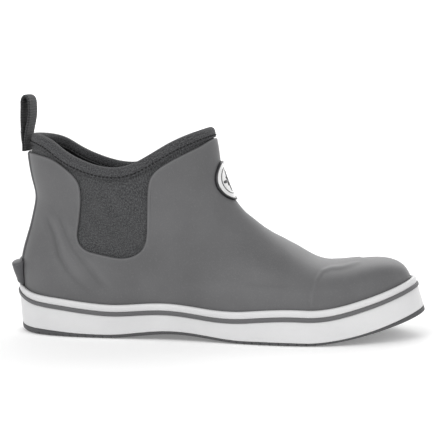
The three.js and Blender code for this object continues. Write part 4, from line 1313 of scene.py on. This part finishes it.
@dataclass
class Badge:
    """Round badge on the instep: black rim, white face and a compass star of its own."""

    last: Last
    radius: float = 15.6
    rim: float = 1.6
    height: float = 0.795
    seat: float = 0.15
    star: float = 8.8              # reach of the star's long points

    def disc(self, radius: Array, angle: Array, out: Array) -> Array:
        """Points of a circle that is round when seen square on, laid on the bent skin.

        Args:
            radius: distance from the badge's middle.
            angle: angle from the level, about the middle.
            out: distance out of the skin.

        Returns:
            Skin points whose level and upward offsets are radius times cosine and sine, found by
            Newton steps on those two offsets.
        """
        last = self.last
        share = np.array([self.height, self.height + 0.01, self.height - 0.01])
        centre, over, under = last.point(np.full(3, np.pi), share)
        up = (over - under) / np.linalg.norm(over - under)
        radius, angle, out = np.broadcast_arrays(radius, angle, out)
        theta, v = np.full(radius.shape, np.pi), np.full(radius.shape, self.height)
        for _ in range(8):
            p = last.point(theta, v)
            a = (last.point(theta + TINY, v) - p) / TINY
            b = (last.point(theta, v + TINY) - p) / TINY
            level = radius * np.cos(angle) - p[..., 1] + centre[1]
            rise = radius * np.sin(angle) - (p - centre) @ up
            det = a[..., 1] * (b @ up) - b[..., 1] * (a @ up)
            theta = theta + (level * (b @ up) - rise * b[..., 1]) / det
            v = v + (rise * a[..., 1] - level * (a @ up)) / det
        return last.skin(theta, v, out)

    def turned(self, name: str, profile: Sequence[tuple[float, float]], closed: bool,
               shape: Callable[[Array], Array] = np.ones_like) -> bpy.types.Object:
        """Piece of revolution on the skin; shape scales the radius with the angle."""
        angle = turns(160)
        radius, out = np.array(profile).T
        grid = self.disc(radius[:, None] * shape(angle)[None, :], angle[None, :], out[:, None])
        return grid_piece(name, self.last, grid, around=True, across=closed)

    def build(self) -> None:
        """Makes rim, face, star and a fine ring round the star."""
        s, r = self.seat, self.radius
        black = SheetFinish("badge_black", (0.014, 0.014, 0.016), 0.35, coat=0.2, pores=1200,
                            depth=0.00003).make()
        white = SheetFinish("badge_white", (0.82, 0.82, 0.82), 0.3, coat=0.3, pores=1200,
                            depth=0.00002).make()
        ring = [(r, s - 0.4), (r, s + 1.2), (r - 0.12, s + 1.55), (r - 0.4, s + 1.8), (r - 0.75, s + 1.87),
                (r - 1.1, s + 1.8), (r - 1.38, s + 1.55), (r - self.rim, s + 1.2), (r - self.rim, s - 0.4)]
        fit(self.turned("badge_ring", ring, True), "boot", "badge_black", black, "badge_rim")
        inner = r - self.rim - 0.05
        dome = [(0, s), (inner * 0.5, s), (inner, s), (inner, s + 1.05)]
        dome += [(inner * k, s + 1.1 + 0.35 * (1 - k * k)) for k in (0.985, 0.9, 0.75, 0.55, 0.35, 0.15, 0)]
        fit(self.turned("badge_disc", dome, False), "boot", "badge_white", white, "badge_face")
        reach = self.star
        points = lambda a: np.maximum(np.abs(np.cos(2 * a)) ** 7, 0.42 * np.abs(np.sin(2 * a)) ** 9)
        fold = lambda a: mix(2.2, reach, points(a)) / reach
        base = s + 1.1
        star = [(0, base), (reach, base), (reach, base + 0.42), (8.1, base + 0.62), (4.5, base + 0.75),
                (0, base + 1.05)]
        fit(self.turned("compass_star", star, False, fold), "boot", "badge_black", black, "badge_emblem")
        hoop = [(10.6, base - 0.2), (10.6, base + 0.3), (10.2, base + 0.42), (9.8, base + 0.3),
                (9.8, base - 0.2)]
        fit(self.turned("compass_hoop", hoop, True), "boot", "badge_black", black)


@dataclass
class Insole:
    """Removable footbed with its cloth cover, and the soft pad under its heel."""

    last: Last
    columns: int = 240
    inset: float = -9.2
    pad_length: float = 27.0       # half length of the heel pad
    pad_width: float = 19.0        # its half width

    def cup(self, x: Array) -> Array:
        """Rise of the footbed's edge round the heel."""
        return 3.2 * smooth((120 - x) / 100)

    def layer(self, low: Level, high: Level, dent: Optional[Callable[[Array], Array]] = None) -> Array:
        """Plate between two levels with a rounded edge; its edge follows the cup round the heel."""
        last, theta = self.last, self.last.even_angles(self.columns)
        out = np.full_like(theta, self.inset)
        rows = []

        def add(level: Level, share: float, extra: float, cupped: float) -> None:
            """One ring at a share of the way in, with a height and the cup's share."""
            p = last.inward(theta, level, out, share)
            p[:, 2] += extra + cupped * self.cup(p[:, 0])
            if dent is not None and level is low:
                p[:, 2] += dent(p)
            rows.append(p)

        for share in np.linspace(1, 0.05, 14):
            add(low, share, 0, smooth(1 - share * 3) * 0.6)
        add(low, 0.008, 0.15, 0.7)
        add(low, 0.0, 0.6, 0.75)
        add(high, 0.0, -0.6, 1)
        add(high, 0.01, -0.12, 1)
        for share in np.linspace(0.04, 1, 18):
            add(high, share, 0, smooth(1 - share * 2.4))
        return np.stack(rows)

    def build(self) -> None:
        last = self.last
        under = lambda x: last.sock_top(x) + GAP
        pad_top = lambda x: last.sock_top(x) + GAP + PAD
        play, dent_depth = 0.6, 2.7
        reach = lambda p: np.hypot((p[..., 0] - HEEL_PAD_X) / (self.pad_length + play),
                                   p[..., 1] / (self.pad_width + play))
        dent = lambda p: dent_depth * (1 - smooth((reach(p) - 1.0) / 0.05))
        foam = SheetFinish("footbed_foam", (0.08, 0.085, 0.095), 0.85, pores=900, depth=0.0002).make()
        body = grid_piece("foam_bed", last, self.layer(under, last.bed_top, dent), around=True)
        fit(body, "insole", "footbed_foam", foam, "footbed")
        layer = self.layer(lambda x: last.bed_top(x) + 0.12, lambda x: last.bed_top(x) + 1.35)
        cover = grid_piece("bed_cloth", last, layer, around=True)
        cloth = KnitFinish("cover_fabric", (0.055, 0.057, 0.062), (0.018, 0.019, 0.022), pitch=0.0013,
                           depth=0.0002).make()
        fit(cover, "insole", "cover_fabric", cloth, "footbed_cover")
        angle = turns(96)
        rows = []
        section = [(s, under, 0.0) for s in (0, 0.5, 0.95)] + [(1.0, under, 0.5), (1.0, pad_top, -0.7)]
        section += [(s, pad_top, -0.5 * s ** 6) for s in (0.97, 0.85, 0.6, 0.3, 0)]
        for share, level, drop in section:
            x = HEEL_PAD_X + self.pad_length * share * np.cos(angle)
            rows.append(np.stack([x, self.pad_width * share * np.sin(angle), level(x) + drop], -1))
        pad = grid_piece("heel_cushion", last, np.stack(rows), around=True)
        gel = SheetFinish("pad_foam", (0.35, 0.4, 0.45), 0.6, pores=500, depth=0.0001).make()
        fit(pad, "insole", "pad_foam", gel, "heel_pad")


@dataclass(frozen=True)
class Hidden:
    """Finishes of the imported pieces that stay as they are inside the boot."""

    finishes: tuple = (
        ("midsole", SheetFinish("filler_foam", (0.55, 0.53, 0.48), 0.9, pores=600, depth=0.0002)),
        ("shank", SheetFinish("spring_steel", (0.62, 0.63, 0.65), 0.32, 1.0, pores=900, depth=0.00002,
                              stretch=(0.1, 3, 3))),
        ("insole_board", SheetFinish("fibre_board", (0.5, 0.36, 0.22), 0.9, pores=800, depth=0.0001,
                                     stretch=(0.5, 2, 1))),
        ("toe_puff", SheetFinish("puff_sheet", (0.6, 0.57, 0.48), 0.7)),
        ("heel_counter", SheetFinish("counter_sheet", (0.58, 0.55, 0.47), 0.7)))

    def dress(self) -> None:
        """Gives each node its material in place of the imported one."""
        for node, finish in self.finishes:
            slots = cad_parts[node].material_slots
            material = finish.make()
            for slot in slots:
                slot.material = material
            if not slots:
                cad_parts[node].data.materials.append(material)
            log.info("dressed %s", node)


@dataclass
class Studio:
    """Pale floor, soft lights and the camera."""

    aim: tuple[float, float] = (0.0028, 0.190)
    distance: float = 1.1
    azimuth: float = 7.0
    pitch: float = 5.535
    lens: float = 121.6
    floor: float = -0.0004
    room: float = 4.0
    target: Colour = (0, 0, 0.07)
    lamps: tuple = (("key_lamp", (-0.9, -1.9, 1.9), 1.6, 24), ("fill_lamp", (1.6, -1.3, 1.2), 1.8, 9),
                    ("rear_lamp", (0.2, 2.0, 1.8), 1.8, 20))

    def paper(self, name: str, corners: Sequence[Colour], glow: float) -> None:
        """Flat pale sheet that isn't part of the boot and that also glows by itself."""
        mesh = bpy.data.meshes.new(name)
        mesh.from_pydata(list(corners), [], [(0, 1, 2, 3)])
        sheet = new_object(name, mesh)
        paint = Paint(name, 0.9)
        paint.shader.inputs["Emission Strength"].default_value = glow
        paint.shader.inputs["Emission Color"].default_value = (1, 1, 1, 1)
        cloud = paint.noise(paint.coordinates(Coordinates.BOOT), 3)
        tone = paint.blend(cloud, (0.87, 0.87, 0.87), (0.89, 0.89, 0.89))
        mesh.materials.append(paint.done(tone, paint.bump(cloud, 0.0001, 0.1)))

    def lamp(self, name: str, place: Colour, size: float, watts: float) -> None:
        """Square soft lamp turned to the boot."""
        data = bpy.data.lights.new(name, "AREA")
        data.size, data.energy = size, watts
        lamp = new_object(name, data)
        lamp.location = place
        way = np.array(self.target) - np.array(place)
        lamp.rotation_euler = (math.atan2(math.hypot(way[0], way[1]), -way[2]), 0,
                               math.atan2(way[1], way[0]) - math.pi / 2)

    def build(self) -> None:
        """Places everything and sets the view's colours to plain ones."""
        far, low = self.room, self.floor
        left, right = (-far, far, low), (far, far, low)
        self.paper("studio_floor", [(-far, -far, low), (far, -far, low), right, left], 0.2)
        self.paper("studio_wall", [left, right, (far, far, far), (-far, far, far)], 0.8)
        for row in self.lamps:
            self.lamp(*row)
        world = bpy.context.scene.world or bpy.data.worlds.new("studio")
        bpy.context.scene.world = world
        world.use_nodes = True
        sky = world.node_tree.nodes["Background"]
        sky.inputs["Color"].default_value, sky.inputs["Strength"].default_value = (1, 1, 1, 1), 0.6
        data = bpy.data.cameras.new("studio_camera")
        data.lens, data.sensor_width = self.lens, 36
        turn = math.radians(self.azimuth)
        camera = new_object("studio_camera", data)
        camera.location = (self.aim[0] + self.distance * math.sin(turn), -self.distance * math.cos(turn),
                           self.aim[1])
        camera.rotation_euler = (math.radians(90 - self.pitch), 0, turn)
        bpy.context.scene.camera = camera
        bpy.context.scene.view_settings.view_transform = "Standard"


def main() -> None:
    """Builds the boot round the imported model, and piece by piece."""
    logging.basicConfig(level=logging.INFO, format="%(message)s")
    low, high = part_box("heel_pad")
    shift = np.array([(low.x + high.x) / 2 - HEEL_PAD_X / 1000, (low.y + high.y) / 2, 0.0])
    last = Last(shift)
    Studio().build()
    for part in (Sole, Upper, Bootie, Collar, PullLoop, Badge, Insole):
        log.info("-- %s", part.__name__)
        part(last).build()
    Hidden().dress()


if __name__ == "__main__":
    main()
